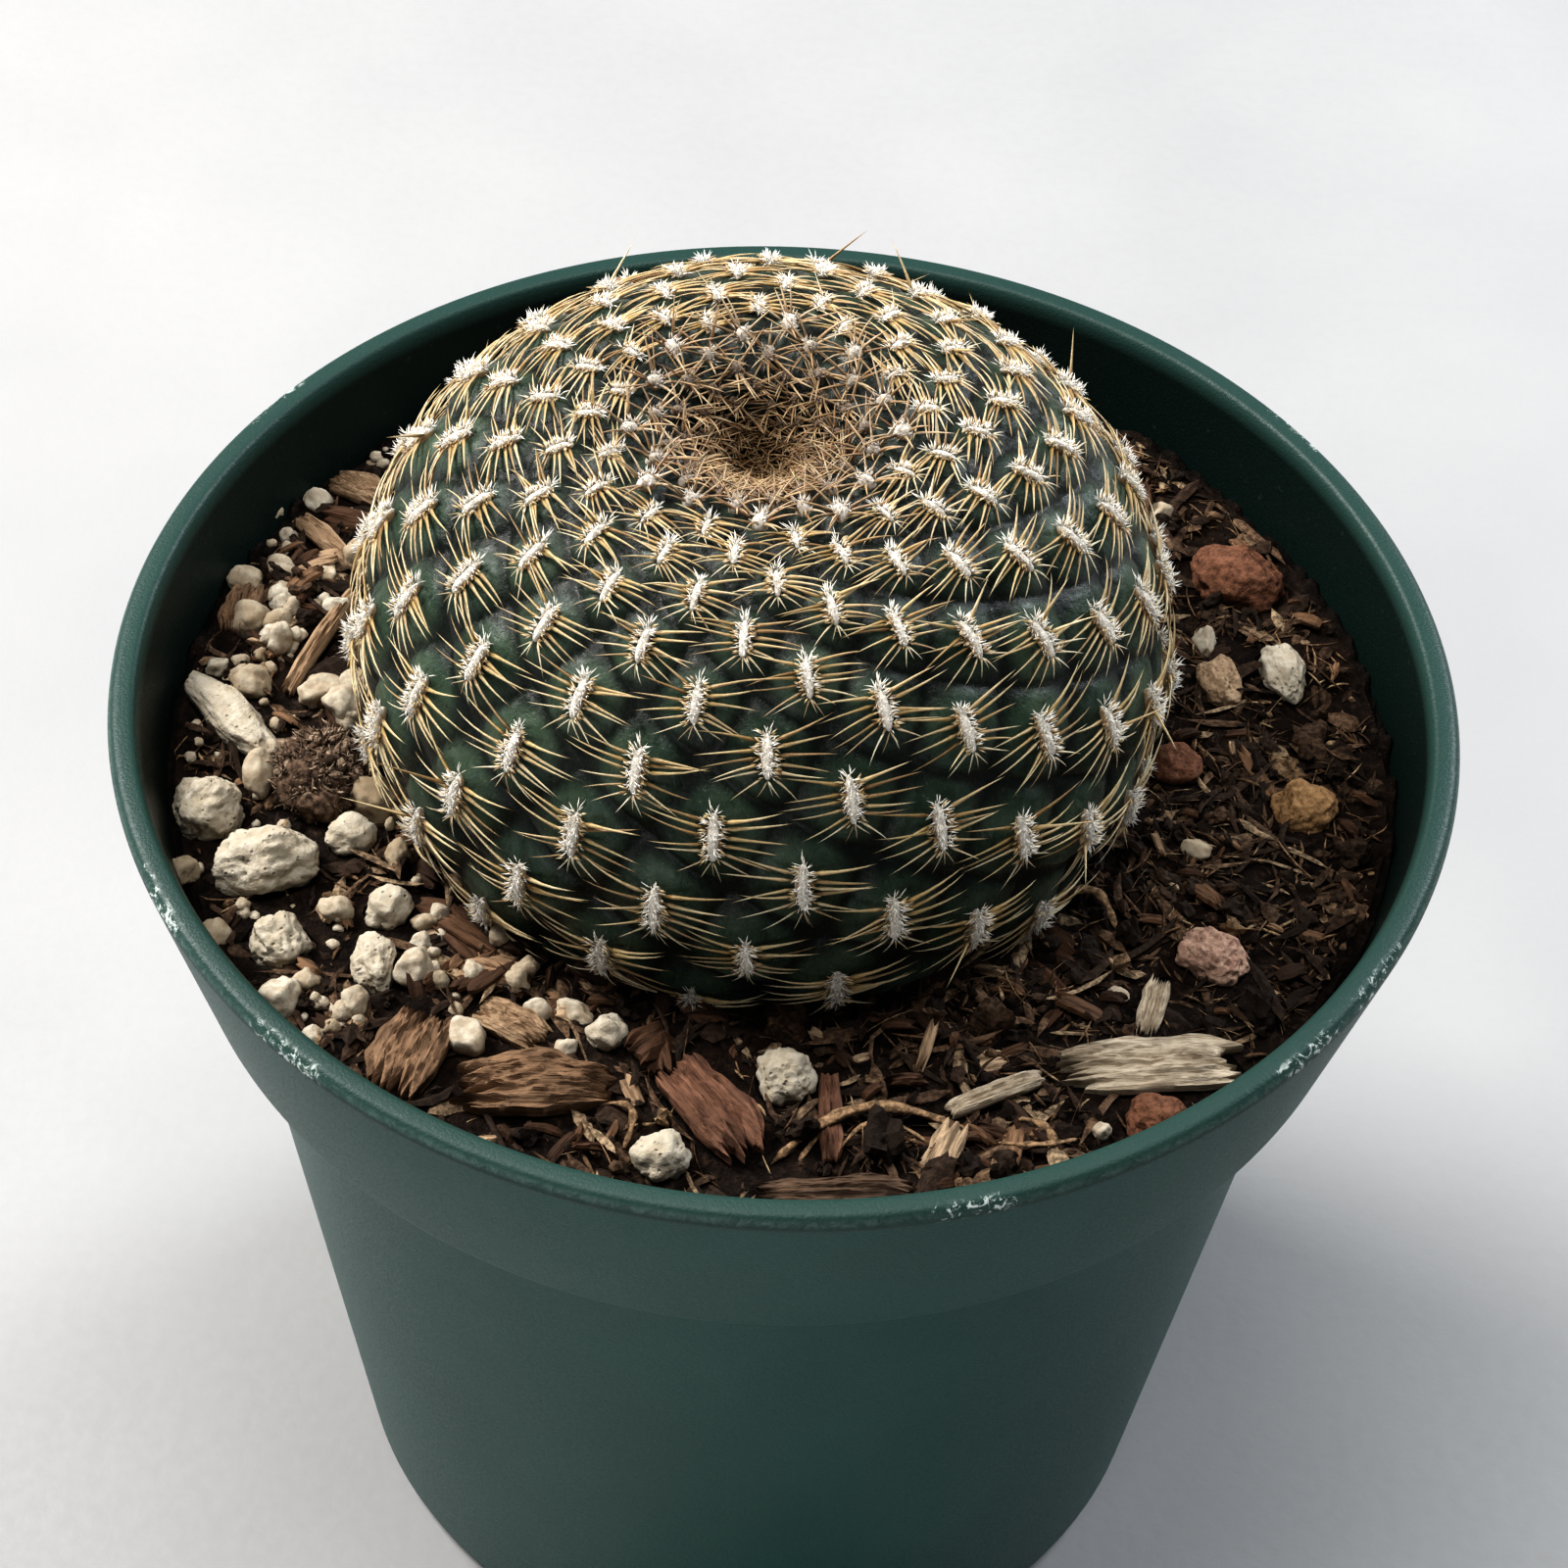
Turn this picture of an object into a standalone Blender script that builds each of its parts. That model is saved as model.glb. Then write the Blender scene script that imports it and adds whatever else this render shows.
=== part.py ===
"""Potted Sulcorebutia arenacea: a squat, spiny globe cactus in a moulded nursery pot.

Metres, +Z up. The origin is the centre of the pot's underside, and the pot stands on z = 0. The side that
faces the viewer is -Y. The plant is one grown body: tubercles follow the 13 and 21 spirals of a golden-angle
spiral round a sunken crown, and each carries an areole whose spines are drawn out of the same surface.
"""

import math
import random

import bmesh
import bpy
from mathutils import Euler, Matrix, Vector, noise

MM = 0.001
GAP = 0.3 * MM

# Pot
POT_SEGMENTS = 48
POT_HEIGHT = 88.0 * MM
RIM_RADIUS = 53.0 * MM
LIP_WIDTH = 2.4 * MM
LIP_BEVEL = 0.5 * MM
COLLAR_HEIGHT = 19.2 * MM
COLLAR_FOOT_RADIUS = 48.4 * MM
BODY_TOP_RADIUS = 45.0 * MM
BASE_RADIUS = 35.7 * MM
WALL = 1.7 * MM
FLOOR = 1.8 * MM
BASE_CORNER = 1.4 * MM
DRAIN_HOLES = 8
DRAIN_RADIUS = 3.2 * MM
DRAIN_CIRCLE = 24.0 * MM

# Potting mix
SOIL_LEVEL = 80.0 * MM
SOIL_BUMP = 0.9 * MM
SOIL_LUMP_SIZE = 15.0 * MM
SOIL_GRAIN_SIZE = 5.5 * MM
WALL_CLEARANCE = 1.6 * GAP
SOIL_SEGMENTS = 40
SOIL_RINGS = 6
SOIL_INNER_RING = 24.0 * MM

# Plant: a turned body whose axis leans a little
PLANT_CENTRE = Vector((-2.15, 2.65, 90.05)) * MM
PLANT_LEAN = Euler((math.radians(3.5), math.radians(-1.6), 0.0))
GLOBE_RADIUS = 31.2 * MM
GLOBE_HALF_HEIGHT = 26.2 * MM
SHOULDER = 0.8
CROWN_DEPTH = 9.0 * MM
CROWN_RADIUS = 7.4 * MM
RELIEF = 0.6 * MM
NECK_RADIUS = 11.0 * MM
NECK_DEPTH = 27.0 * MM
ROOT_DEPTH = 42.0 * MM
NECK_SIDES = 32
HOLE_CLEARANCE = 3.0 * GAP
HOLE_WAIST = 1.8
HOLE_STEPS = 6
SOIL_CLEARANCE = 1.7 * MM

# Growth spiral: leaf number t (in hundreds, 0 part way up the shoulder) gives the polar angle from the crown
GOLDEN = math.radians(137.50776)
FIRST_ANGLE = -1.3808
GROWTH = (-0.2957, 1.3015, -0.3663)
NEWEST = -150
LAST_STAR = 101
GROUND_LEAF = 104
OLDEST = 134
YOUNG = -62
RIGHT_STEP = 13
LEFT_STEP = 21
HALF_STEP = (RIGHT_STEP + LEFT_STEP) / 2

# Areoles and spines, at full size on the equator
FULL_SPACING = 9.4 * MM
AREOLE_LENGTH = 4.4 * MM
AREOLE_WIDTH = 1.3 * MM
AREOLE_HEIGHT = 0.55 * MM
SPINED_SHARE = 0.86
SPINES_A_SIDE = 4
SPINE_LENGTH = 5.6 * MM
SPINE_SPREAD = (-40.0, -13.0, 10.0, 33.0)
SPINE_RISE = (15.0, 11.0, 9.0, 7.0)
SPINE_STRAY = 4.0
END_SPINE_LENGTH = 2.6 * MM
END_SPINE_SPREAD = -72.0
END_SPINE_RISE = 20.0
YOUNG_SPINE_LENGTH = 2.7 * MM
YOUNG_SPINE_SPREAD = 35.0
YOUNG_SPINE_RISE = 42.0
YOUNG_FELT_SHARE = 0.24
SPINE_GIRTH = 0.36 * MM
SPINE_CLEARANCE = 0.04 * MM
SHORTEST_SPINE = 0.4

FLESH = (0.030, 0.062, 0.034, 1.0)
FELT = (0.80, 0.74, 0.62, 1.0)
SPINE = (0.52, 0.36, 0.15, 1.0)


def clear_scene():
    for item in list(bpy.data.objects):
        bpy.data.objects.remove(item, do_unlink=True)


def material(name, colour, roughness, metallic=0.0):
    made = bpy.data.materials.new(name)
    made.use_nodes = True
    shader = made.node_tree.nodes["Principled BSDF"]
    shader.inputs["Base Color"].default_value = colour
    shader.inputs["Roughness"].default_value = roughness
    shader.inputs["Metallic"].default_value = metallic
    made.diffuse_color = colour
    return made


def object_from(name, mesh_builder, materials, collection=None):
    """A new object whose mesh is a finished bmesh."""
    mesh = bpy.data.meshes.new(name)
    mesh_builder.to_mesh(mesh)
    mesh_builder.free()
    made = bpy.data.objects.new(name, mesh)
    for entry in materials:
        mesh.materials.append(entry)
    (collection or bpy.context.scene.collection).objects.link(made)
    return made


def shade_round(made, angle=40.0):
    made.data.shade_smooth()
    made.data.set_sharp_from_angle(angle=math.radians(angle))


def turned(profile, segments):
    """A bmesh: the profile of (radius, height) points, from axis to axis, turned about Z."""
    builder = bmesh.new()
    points = [builder.verts.new((radius, 0.0, height)) for radius, height in profile]
    edges = [builder.edges.new(pair) for pair in zip(points, points[1:])]
    bmesh.ops.spin(
        builder,
        geom=points + edges,
        cent=(0, 0, 0),
        axis=(0, 0, 1),
        angle=math.tau,
        steps=segments,
        use_merge=True,
    )
    bmesh.ops.remove_doubles(builder, verts=builder.verts, dist=1e-6)
    bmesh.ops.recalc_face_normals(builder, faces=builder.faces)
    return builder


def cutter(made):
    made.hide_render = True
    made.display_type = "WIRE"
    return made


def cut(target, name, tool):
    modifier = target.modifiers.new(name, "BOOLEAN")
    modifier.operation = "DIFFERENCE"
    if isinstance(tool, bpy.types.Collection):
        modifier.operand_type = "COLLECTION"
        modifier.collection = tool
    else:
        modifier.object = tool


def body_radius(height):
    """The outside of the pot's body, below the collar, at a height."""
    foot = POT_HEIGHT - COLLAR_HEIGHT
    return BASE_RADIUS + height / foot * (BODY_TOP_RADIUS - BASE_RADIUS)


def collar_inside(height):
    """The radius of the collar's inside wall, which runs straight from the lip to the collar's foot."""
    low = POT_HEIGHT - COLLAR_HEIGHT + 1.0 * MM
    high = POT_HEIGHT - LIP_BEVEL
    share = (height - low) / (high - low)
    foot = COLLAR_FOOT_RADIUS - WALL
    return foot + share * (RIM_RADIUS - LIP_WIDTH - foot)


def wall_profile(offset):
    """The inside of the pot's wall, from just under the lip down to the floor, moved inwards by offset."""
    foot = POT_HEIGHT - COLLAR_HEIGHT
    collar = COLLAR_FOOT_RADIUS - WALL - offset
    body = BODY_TOP_RADIUS - WALL - offset
    return [(collar, foot + 1.0 * MM), (body, foot - 2.0 * MM), (body_radius(FLOOR) - WALL - offset, FLOOR)]


def build_pot():
    foot = POT_HEIGHT - COLLAR_HEIGHT
    outside = [
        (0.0, 0.0),
        (BASE_RADIUS - BASE_CORNER, 0.0),
        (BASE_RADIUS - 0.3 * BASE_CORNER, 0.3 * BASE_CORNER),
        (BASE_RADIUS, BASE_CORNER),
        (BODY_TOP_RADIUS, foot - 0.8 * MM),
        (COLLAR_FOOT_RADIUS - 0.4 * MM, foot),
        (COLLAR_FOOT_RADIUS, foot + LIP_BEVEL),
        (RIM_RADIUS, POT_HEIGHT - 2.0 * LIP_BEVEL),
        (RIM_RADIUS - LIP_BEVEL, POT_HEIGHT - LIP_BEVEL),
    ]
    inside = [
        (RIM_RADIUS - LIP_WIDTH + LIP_BEVEL, POT_HEIGHT),
        (RIM_RADIUS - LIP_WIDTH, POT_HEIGHT - LIP_BEVEL),
    ]
    inside += wall_profile(0.0)
    inside.append((0.0, FLOOR))
    green = material("pot_green", (0.026, 0.115, 0.085, 1), 0.42)
    pot = object_from("pot", turned(outside + inside, POT_SEGMENTS), [green])
    shade_round(pot, 30.0)
    cut(pot, "drain holes", build_drain_cutter())
    return pot


def build_drain_cutter():
    builder = bmesh.new()
    for index in range(DRAIN_HOLES):
        angle = math.tau * (index + 0.5) / DRAIN_HOLES
        centre = Vector((DRAIN_CIRCLE * math.cos(angle), DRAIN_CIRCLE * math.sin(angle), FLOOR / 2))
        bmesh.ops.create_cone(
            builder,
            cap_ends=True,
            segments=10,
            radius1=DRAIN_RADIUS,
            radius2=DRAIN_RADIUS,
            depth=3 * FLOOR,
            matrix=Matrix.Translation(centre),
        )
    return cutter(object_from("drain_cutter", builder, []))


def soil_height(x, y):
    """The top of the potting mix: level, with lumps and dips."""
    broad = noise.noise(Vector((x, y, 0.0)) / SOIL_LUMP_SIZE)
    fine = noise.noise(Vector((x, y, SOIL_LEVEL / 2)) / SOIL_GRAIN_SIZE)
    return SOIL_LEVEL + SOIL_BUMP * (broad + 0.6 * fine)


def build_potting_mix(plant_cutter, pockets):
    edge = collar_inside(SOIL_LEVEL - SOIL_BUMP) - WALL_CLEARANCE
    rings = [
        (SOIL_INNER_RING + (edge - SOIL_INNER_RING) * index / SOIL_RINGS, SOIL_LEVEL)
        for index in range(SOIL_RINGS + 1)
    ]
    sides = wall_profile(WALL_CLEARANCE)
    sides[-1] = (sides[-1][0], FLOOR + GAP)
    profile = [(0.0, SOIL_LEVEL)] + rings + sides + [(0.0, FLOOR + GAP)]
    builder = turned(list(reversed(profile)), SOIL_SEGMENTS)
    for vertex in builder.verts:
        if abs(vertex.co.z - SOIL_LEVEL) < 1e-6:
            vertex.co.z = soil_height(vertex.co.x, vertex.co.y)
    mix = object_from("potting_mix", builder, [material("potting_mix", (0.055, 0.032, 0.018, 1), 0.95)])
    shade_round(mix)
    cut(mix, "plant hole", plant_cutter)
    cut(mix, "pockets", pockets)
    return mix


def globe_point(polar, around, lift=0.0):
    """A point of the plant's skin in the plant's own frame, lifted along the outward normal."""
    here = globe_profile(polar)
    ahead = globe_profile(polar + 1e-4)
    behind = globe_profile(max(polar - 1e-4, 1e-5))
    slope = Vector((ahead[0] - behind[0], ahead[1] - behind[1])).normalized()
    radius = here[0] - lift * slope[1]
    height = here[1] + lift * slope[0]
    return Vector((radius * math.cos(around), radius * math.sin(around), height))


def globe_profile(polar):
    """Radius and height of the skin at a polar angle from the crown: a squat globe with a bowl in its top."""
    radius = GLOBE_RADIUS * max(math.sin(polar), 0.0) ** SHOULDER
    height = GLOBE_HALF_HEIGHT * math.cos(polar)
    if polar < math.pi / 2:
        height -= CROWN_DEPTH / (1.0 + (radius / CROWN_RADIUS) ** 2) ** 1.5
    return radius, height


def leaf_place(number):
    """Polar angle and angle around of a leaf of the growth spiral."""
    t = number / 100.0
    polar = math.exp(GROWTH[0] * t * t + GROWTH[1] * t + GROWTH[2])
    return polar, FIRST_ANGLE - number * GOLDEN


def wrapped(angle):
    return (angle + math.pi) % math.tau - math.pi


HALF_TURN = 0.5 * (wrapped(-RIGHT_STEP * GOLDEN) + wrapped(-LEFT_STEP * GOLDEN))


def spacing_at(number):
    """The side of the square that one areole has to itself."""
    polar = leaf_place(number)[0]
    below = globe_point(leaf_place(number + 0.5)[0], 0.0)
    above = globe_point(leaf_place(number - 0.5)[0], 0.0)
    return math.sqrt(math.tau * globe_profile(polar)[0] * (below - above).length)


def above_ground(number):
    """1 on the free skin, falling to 0 where the leaf is buried."""
    return min(max((GROUND_LEAF - number) / 10.0, 0.0), 1.0)


def relief_at(number):
    """How far tubercles stand out: less in the crown, and none in the ground."""
    return RELIEF * min(spacing_at(number) / FULL_SPACING, 1.0) * above_ground(number)


class Areole:
    """A frame on the skin: up points to the crown, side to the right, out away from the body."""

    def __init__(self, number):
        self.polar, self.around = leaf_place(number)
        self.centre = globe_point(self.polar, self.around, relief_at(number))
        below = globe_point(self.polar + 0.01, self.around)
        above = globe_point(self.polar - 0.01, self.around)
        self.up = (above - below).normalized()
        self.side = Vector((-math.sin(self.around), math.cos(self.around), 0.0))
        self.out = self.side.cross(self.up).normalized()
        self.scale = min(spacing_at(number) / FULL_SPACING, 1.0)
        self.felt = AREOLE_HEIGHT * self.scale * (0.3 + 0.7 * above_ground(number))

    def angle_of(self, point):
        return math.atan2((point - self.centre).dot(self.up), (point - self.centre).dot(self.side))

    def at(self, side, up, out=0.0):
        return self.centre + self.side * side + self.up * up + self.out * out

    def direction(self, heading, rise, hand):
        """A unit vector: heading up from sideways, rise away from the skin, in degrees; hand is 1 or -1."""
        flat = math.cos(math.radians(rise))
        sideways = hand * math.cos(math.radians(heading)) * flat
        upwards = math.sin(math.radians(heading)) * flat
        return self.side * sideways + self.up * upwards + self.out * math.sin(math.radians(rise))


def join_loops(builder, spot, outer, inner):
    """Triangles between two rings of vertices round an areole, taken in turn by their angle about it."""

    def by_angle(ring):
        angles = [spot.angle_of(vertex.co) for vertex in ring]
        return sorted(zip(angles, ring), key=lambda entry: entry[0])

    outer, inner = by_angle(outer), by_angle(inner)
    o = i = 0
    while o < len(outer) or i < len(inner):
        outer_here = outer[(o - 1) % len(outer)][1]
        inner_here = inner[(i - 1) % len(inner)][1]
        if i >= len(inner) or (o < len(outer) and outer[o][0] < inner[i][0]):
            builder.faces.new((outer_here, outer[o][1], inner_here))
            o += 1
        else:
            builder.faces.new((outer_here, inner[i][1], inner_here))
            i += 1


class SpineBed:
    """The spines drawn so far, as thin cones, so that a new one can stop short of the others."""

    def __init__(self):
        self.cones = []

    def gap(self, root, tip, girth, reach_cone):
        """The clear distance between a new cone and a standing one, at their nearest points."""
        other_root, other_tip, other_girth = reach_cone
        first, second = tip - root, other_tip - other_root
        between = root - other_root
        a, b, c = first.dot(first), first.dot(second), second.dot(second)
        d, e = first.dot(between), second.dot(between)
        denominator = max(a * c - b * b, 1e-18)
        along = min(max((b * e - c * d) / denominator, 0.0), 1.0)
        across = min(max((b * along + e) / c, 0.0), 1.0)
        along = min(max((b * across - d) / a, 0.0), 1.0)
        distance = (between + first * along - second * across).length
        return distance - girth * (1.0 - along) - other_girth * (1.0 - across)

    def clear_tip(self, root, way, reach, girth, owner):
        """The tip of the longest spine that stays clear of the spines of other areoles."""
        others = [cone for cone, whose in self.cones if whose != owner]
        nearby = [cone for cone in others if (cone[0] - root).length < 2.2 * reach]
        share = 1.0
        while share > SHORTEST_SPINE and any(
            self.gap(root, root + way * reach * share, girth, cone) < SPINE_CLEARANCE for cone in nearby
        ):
            share -= 0.05
        tip = root + way * reach * share
        self.cones.append(((root, tip, girth), owner))
        return tip


def draw_out(builder, base, tip):
    """Three faces that run from a triangle's edges to a tip, in place of that triangle."""
    end = builder.verts.new(tip)
    for first, second in zip(base, base[1:] + base[:1]):
        face = builder.faces.new((first, second, end))
        face.material_index = 2


def felt_face(builder, corners):
    builder.faces.new(corners).material_index = 1


def spine_clears_soil(tip):
    world = PLANT_LEAN.to_matrix() @ tip + PLANT_CENTRE
    return world.z > SOIL_LEVEL + SOIL_CLEARANCE


def spine_or_felt(builder, base, tip):
    if spine_clears_soil(tip):
        draw_out(builder, base, tip)
    else:
        felt_face(builder, base)


def grown_areole(builder, corners, number, chance, bed):
    """A tubercle with its long felted areole: four spines on each side and two at the lower end."""
    spot = Areole(number)
    length = AREOLE_LENGTH * spot.scale
    width = AREOLE_WIDTH * spot.scale
    levels = [length * (index / SPINES_A_SIDE - 0.5) * SPINED_SHARE for index in range(SPINES_A_SIDE + 1)]
    right = [builder.verts.new(spot.at(width / 2, level)) for level in levels]
    left = [builder.verts.new(spot.at(-width / 2, level)) for level in levels]
    top = builder.verts.new(spot.at(0.0, length / 2))
    bottom = builder.verts.new(spot.at(0.0, -length / 2))
    ridge = [
        builder.verts.new(spot.at(0.0, (low + high) / 2, spot.felt))
        for low, high in zip(levels, levels[1:])
    ]
    join_loops(builder, spot, corners, [bottom] + right + [top] + left[::-1])
    for hand, rail in ((1, right), (-1, left)):
        for index in range(SPINES_A_SIDE):
            base = [rail[index], rail[index + 1], ridge[index]]
            root = sum((vertex.co for vertex in base), Vector()) / 3
            heading = SPINE_SPREAD[index] + chance.uniform(-SPINE_STRAY, SPINE_STRAY)
            rise = SPINE_RISE[index] + chance.uniform(-SPINE_STRAY, SPINE_STRAY) / 3
            reach = SPINE_LENGTH * spot.scale * chance.uniform(0.98, 1.12)
            way = spot.direction(heading, rise, hand)
            tip = bed.clear_tip(root, way, reach, SPINE_GIRTH * spot.scale, number)
            spine_or_felt(builder, base if hand > 0 else base[::-1], tip)
            if index + 1 < SPINES_A_SIDE:
                between = [ridge[index], rail[index + 1], ridge[index + 1]]
                felt_face(builder, between if hand > 0 else between[::-1])
        lower = [bottom, rail[0], ridge[0]]
        way = spot.direction(END_SPINE_SPREAD, END_SPINE_RISE, hand)
        reach = END_SPINE_LENGTH * spot.scale
        tip = bed.clear_tip(bottom.co.copy(), way, reach, SPINE_GIRTH * spot.scale, number)
        spine_or_felt(builder, lower if hand > 0 else lower[::-1], tip)
        upper = [rail[-1], top, ridge[-1]]
        felt_face(builder, upper if hand > 0 else upper[::-1])


def young_areole(builder, corners, number, chance, bed):
    """A small crown areole: a dot of felt drawn out into four spines."""
    spot = Areole(number)
    half = YOUNG_FELT_SHARE * spacing_at(number)
    ring = [
        builder.verts.new(spot.at(side * half, up * half))
        for side, up in ((0.0, -1.0), (0.8, 0.0), (0.0, 1.0), (-0.8, 0.0))
    ]
    middle = builder.verts.new(spot.at(0.0, 0.0, half))
    join_loops(builder, spot, corners, ring)
    reach = YOUNG_SPINE_LENGTH * min(1.0, 2.0 * spot.scale + 0.15)
    for index, (updown, hand) in enumerate(((-1, 1), (1, 1), (1, -1), (-1, -1))):
        base = [ring[index], ring[(index + 1) % 4], middle]
        root = sum((vertex.co for vertex in base), Vector()) / 3
        heading = updown * YOUNG_SPINE_SPREAD
        rise = YOUNG_SPINE_RISE + chance.uniform(-SPINE_STRAY, SPINE_STRAY)
        way = spot.direction(heading, rise, hand)
        tip = bed.clear_tip(root, way, reach * chance.uniform(0.85, 1.1), 0.55 * half, number)
        draw_out(builder, base, tip)


def plain_areole(builder, corners, number):
    """A buried tubercle, smooth."""
    middle = builder.verts.new(Areole(number).centre)
    for first, second in zip(corners, corners[1:] + corners[:1]):
        builder.faces.new((first, second, middle))


def furrow_vertices(builder):
    """The sunk corners between tubercles, each half a step of both spirals below its leaf."""
    found = {}
    for number in range(NEWEST - RIGHT_STEP - LEFT_STEP, OLDEST + 1):
        polar = leaf_place(number + HALF_STEP)[0]
        around = leaf_place(number)[1] + HALF_TURN
        found[number] = builder.verts.new(globe_point(polar, around, -relief_at(number + HALF_STEP)))
    return found


def open_rims(builder):
    """The mesh's open edges as two lists of edges: the crown's and the root's."""
    rim = [edge for edge in builder.edges if edge.is_boundary]
    middle = sum(edge.verts[0].co.z for edge in rim) / len(rim)
    crown = [edge for edge in rim if edge.verts[0].co.z > middle]
    root = [edge for edge in rim if edge.verts[0].co.z <= middle]
    return crown, root


def close_to_point(builder, rim, point):
    tip = builder.verts.new(point)
    for edge in rim:
        builder.faces.new((edge.verts[0], edge.verts[1], tip))


def close_root(builder, rim):
    """The buried neck narrows to a short taproot."""
    grown = bmesh.ops.extrude_edge_only(builder, edges=rim)
    neck = [item for item in grown["geom"] if isinstance(item, bmesh.types.BMVert)]
    for vertex in neck:
        flat = Vector((vertex.co.x, vertex.co.y, 0.0)).normalized() * NECK_RADIUS
        vertex.co = flat + Vector((0.0, 0.0, -NECK_DEPTH))
    lower = [item for item in grown["geom"] if isinstance(item, bmesh.types.BMEdge) and item.is_boundary]
    close_to_point(builder, lower, (0.0, 0.0, -ROOT_DEPTH))


def build_cactus():
    chance = random.Random(11)
    bed = SpineBed()
    builder = bmesh.new()
    furrows = furrow_vertices(builder)
    for number in range(NEWEST, OLDEST + 1):
        corners = [
            furrows[number],
            furrows[number - LEFT_STEP],
            furrows[number - LEFT_STEP - RIGHT_STEP],
            furrows[number - RIGHT_STEP],
        ]
        if number < YOUNG:
            young_areole(builder, corners, number, chance, bed)
        elif number <= LAST_STAR:
            grown_areole(builder, corners, number, chance, bed)
        else:
            plain_areole(builder, corners, number)
    bmesh.ops.delete(builder, geom=[item for item in builder.verts if not item.link_faces], context="VERTS")
    crown, root = open_rims(builder)
    close_to_point(builder, crown, globe_point(1e-3, 0.0))
    close_root(builder, root)
    bmesh.ops.triangulate(builder, faces=builder.faces)
    bmesh.ops.recalc_face_normals(builder, faces=builder.faces)
    skins = [
        material("cactus_flesh", FLESH, 0.5),
        material("areole_felt", FELT, 0.95),
        material("spine_straw", SPINE, 0.5),
    ]
    cactus = object_from("cactus", builder, skins)
    cactus.location = PLANT_CENTRE
    cactus.rotation_euler = PLANT_LEAN
    return cactus


def build_plant_cutter():
    """The hole in the potting mix: the plant's buried outline with a little room round it."""
    last = leaf_place(OLDEST + HALF_STEP)[0]
    angles = [HOLE_WAIST + (last - HOLE_WAIST) * index / HOLE_STEPS for index in range(HOLE_STEPS + 1)]
    skin = [globe_profile(angle) for angle in angles]
    mouth = (skin[0][0] + HOLE_CLEARANCE, skin[0][1] + 4.0 * MM)
    profile = [(0.0, mouth[1]), mouth]
    profile += [(radius + HOLE_CLEARANCE, height) for radius, height in skin]
    profile.append((NECK_RADIUS + HOLE_CLEARANCE, -NECK_DEPTH - HOLE_CLEARANCE))
    profile.append((0.0, -ROOT_DEPTH - 2 * HOLE_CLEARANCE))
    made = cutter(object_from("plant_hole_cutter", turned(list(reversed(profile)), NECK_SIDES), []))
    made.location = PLANT_CENTRE
    made.rotation_euler = PLANT_LEAN
    return made


# The loose pieces' shapes
LUMP_WAVES = 2.6
LUMP_DEPTH = 0.22
CHIP_OUTLINE = (
    (-0.5, -0.32),
    (-0.2, -0.5),
    (0.22, -0.44),
    (0.5, -0.2),
    (0.42, 0.34),
    (0.1, 0.5),
    (-0.3, 0.4),
)
STICK_GIRTHS = ((-0.5, 0.6), (-0.15, 1.0), (0.2, 0.95), (0.5, 0.5))
STICK_SIDES = 5
POCKET_ROOM = 2.6 * GAP


def lump(size, detail, seed):
    """A worn grain: a ball pushed in and out by noise, stretched to its size."""
    builder = bmesh.new()
    bmesh.ops.create_icosphere(builder, subdivisions=detail, radius=0.5)
    for vertex in builder.verts:
        wobble = noise.noise(vertex.co * LUMP_WAVES + Vector((seed * 3.7, 0.0, 0.0)))
        vertex.co *= 1.0 + LUMP_DEPTH * wobble
        vertex.co = Vector(vertex.co[axis] * size[axis] for axis in range(3))
    return builder


def chip(size, seed):
    """A split flake of bark: an uneven outline with slanting ends, thinner towards its rims."""
    chance = random.Random(seed)
    long, wide, thick = size
    outline = []
    for along, across in CHIP_OUTLINE:
        outline.append((along * long * chance.uniform(0.9, 1.0), across * wide * chance.uniform(0.85, 1.0)))
    builder = bmesh.new()
    lower = [builder.verts.new((x, y, -thick / 2)) for x, y in outline]
    upper = [builder.verts.new((x * 0.9, y * 0.86, thick / 2 * chance.uniform(0.6, 1.0))) for x, y in outline]
    builder.faces.new(lower[::-1])
    crest = builder.verts.new((0.05 * long, 0.0, thick * 0.55))
    for index in range(len(outline)):
        after = (index + 1) % len(outline)
        builder.faces.new((lower[index], lower[after], upper[after], upper[index]))
        builder.faces.new((upper[index], upper[after], crest))
    bmesh.ops.triangulate(builder, faces=builder.faces)
    return builder


def stick(size, seed):
    """A splinter: a five-sided tapering rod with a slight bend."""
    chance = random.Random(seed)
    long, wide, thick = size
    builder = bmesh.new()
    rings = []
    for along, girth in STICK_GIRTHS:
        bend = chance.uniform(-0.06, 0.06) * wide
        ring = []
        for index in range(STICK_SIDES):
            angle = math.tau * index / STICK_SIDES
            y = bend + math.cos(angle) * wide / 2 * girth
            ring.append(builder.verts.new((along * long, y, math.sin(angle) * thick / 2 * girth)))
        rings.append(ring)
    for first, second in zip(rings, rings[1:]):
        for index in range(STICK_SIDES):
            after = (index + 1) % STICK_SIDES
            builder.faces.new((first[index], first[after], second[after], second[index]))
    builder.faces.new(rings[0][::-1])
    builder.faces.new(rings[-1])
    bmesh.ops.recalc_face_normals(builder, faces=builder.faces)
    bmesh.ops.triangulate(builder, faces=builder.faces)
    return builder


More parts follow.
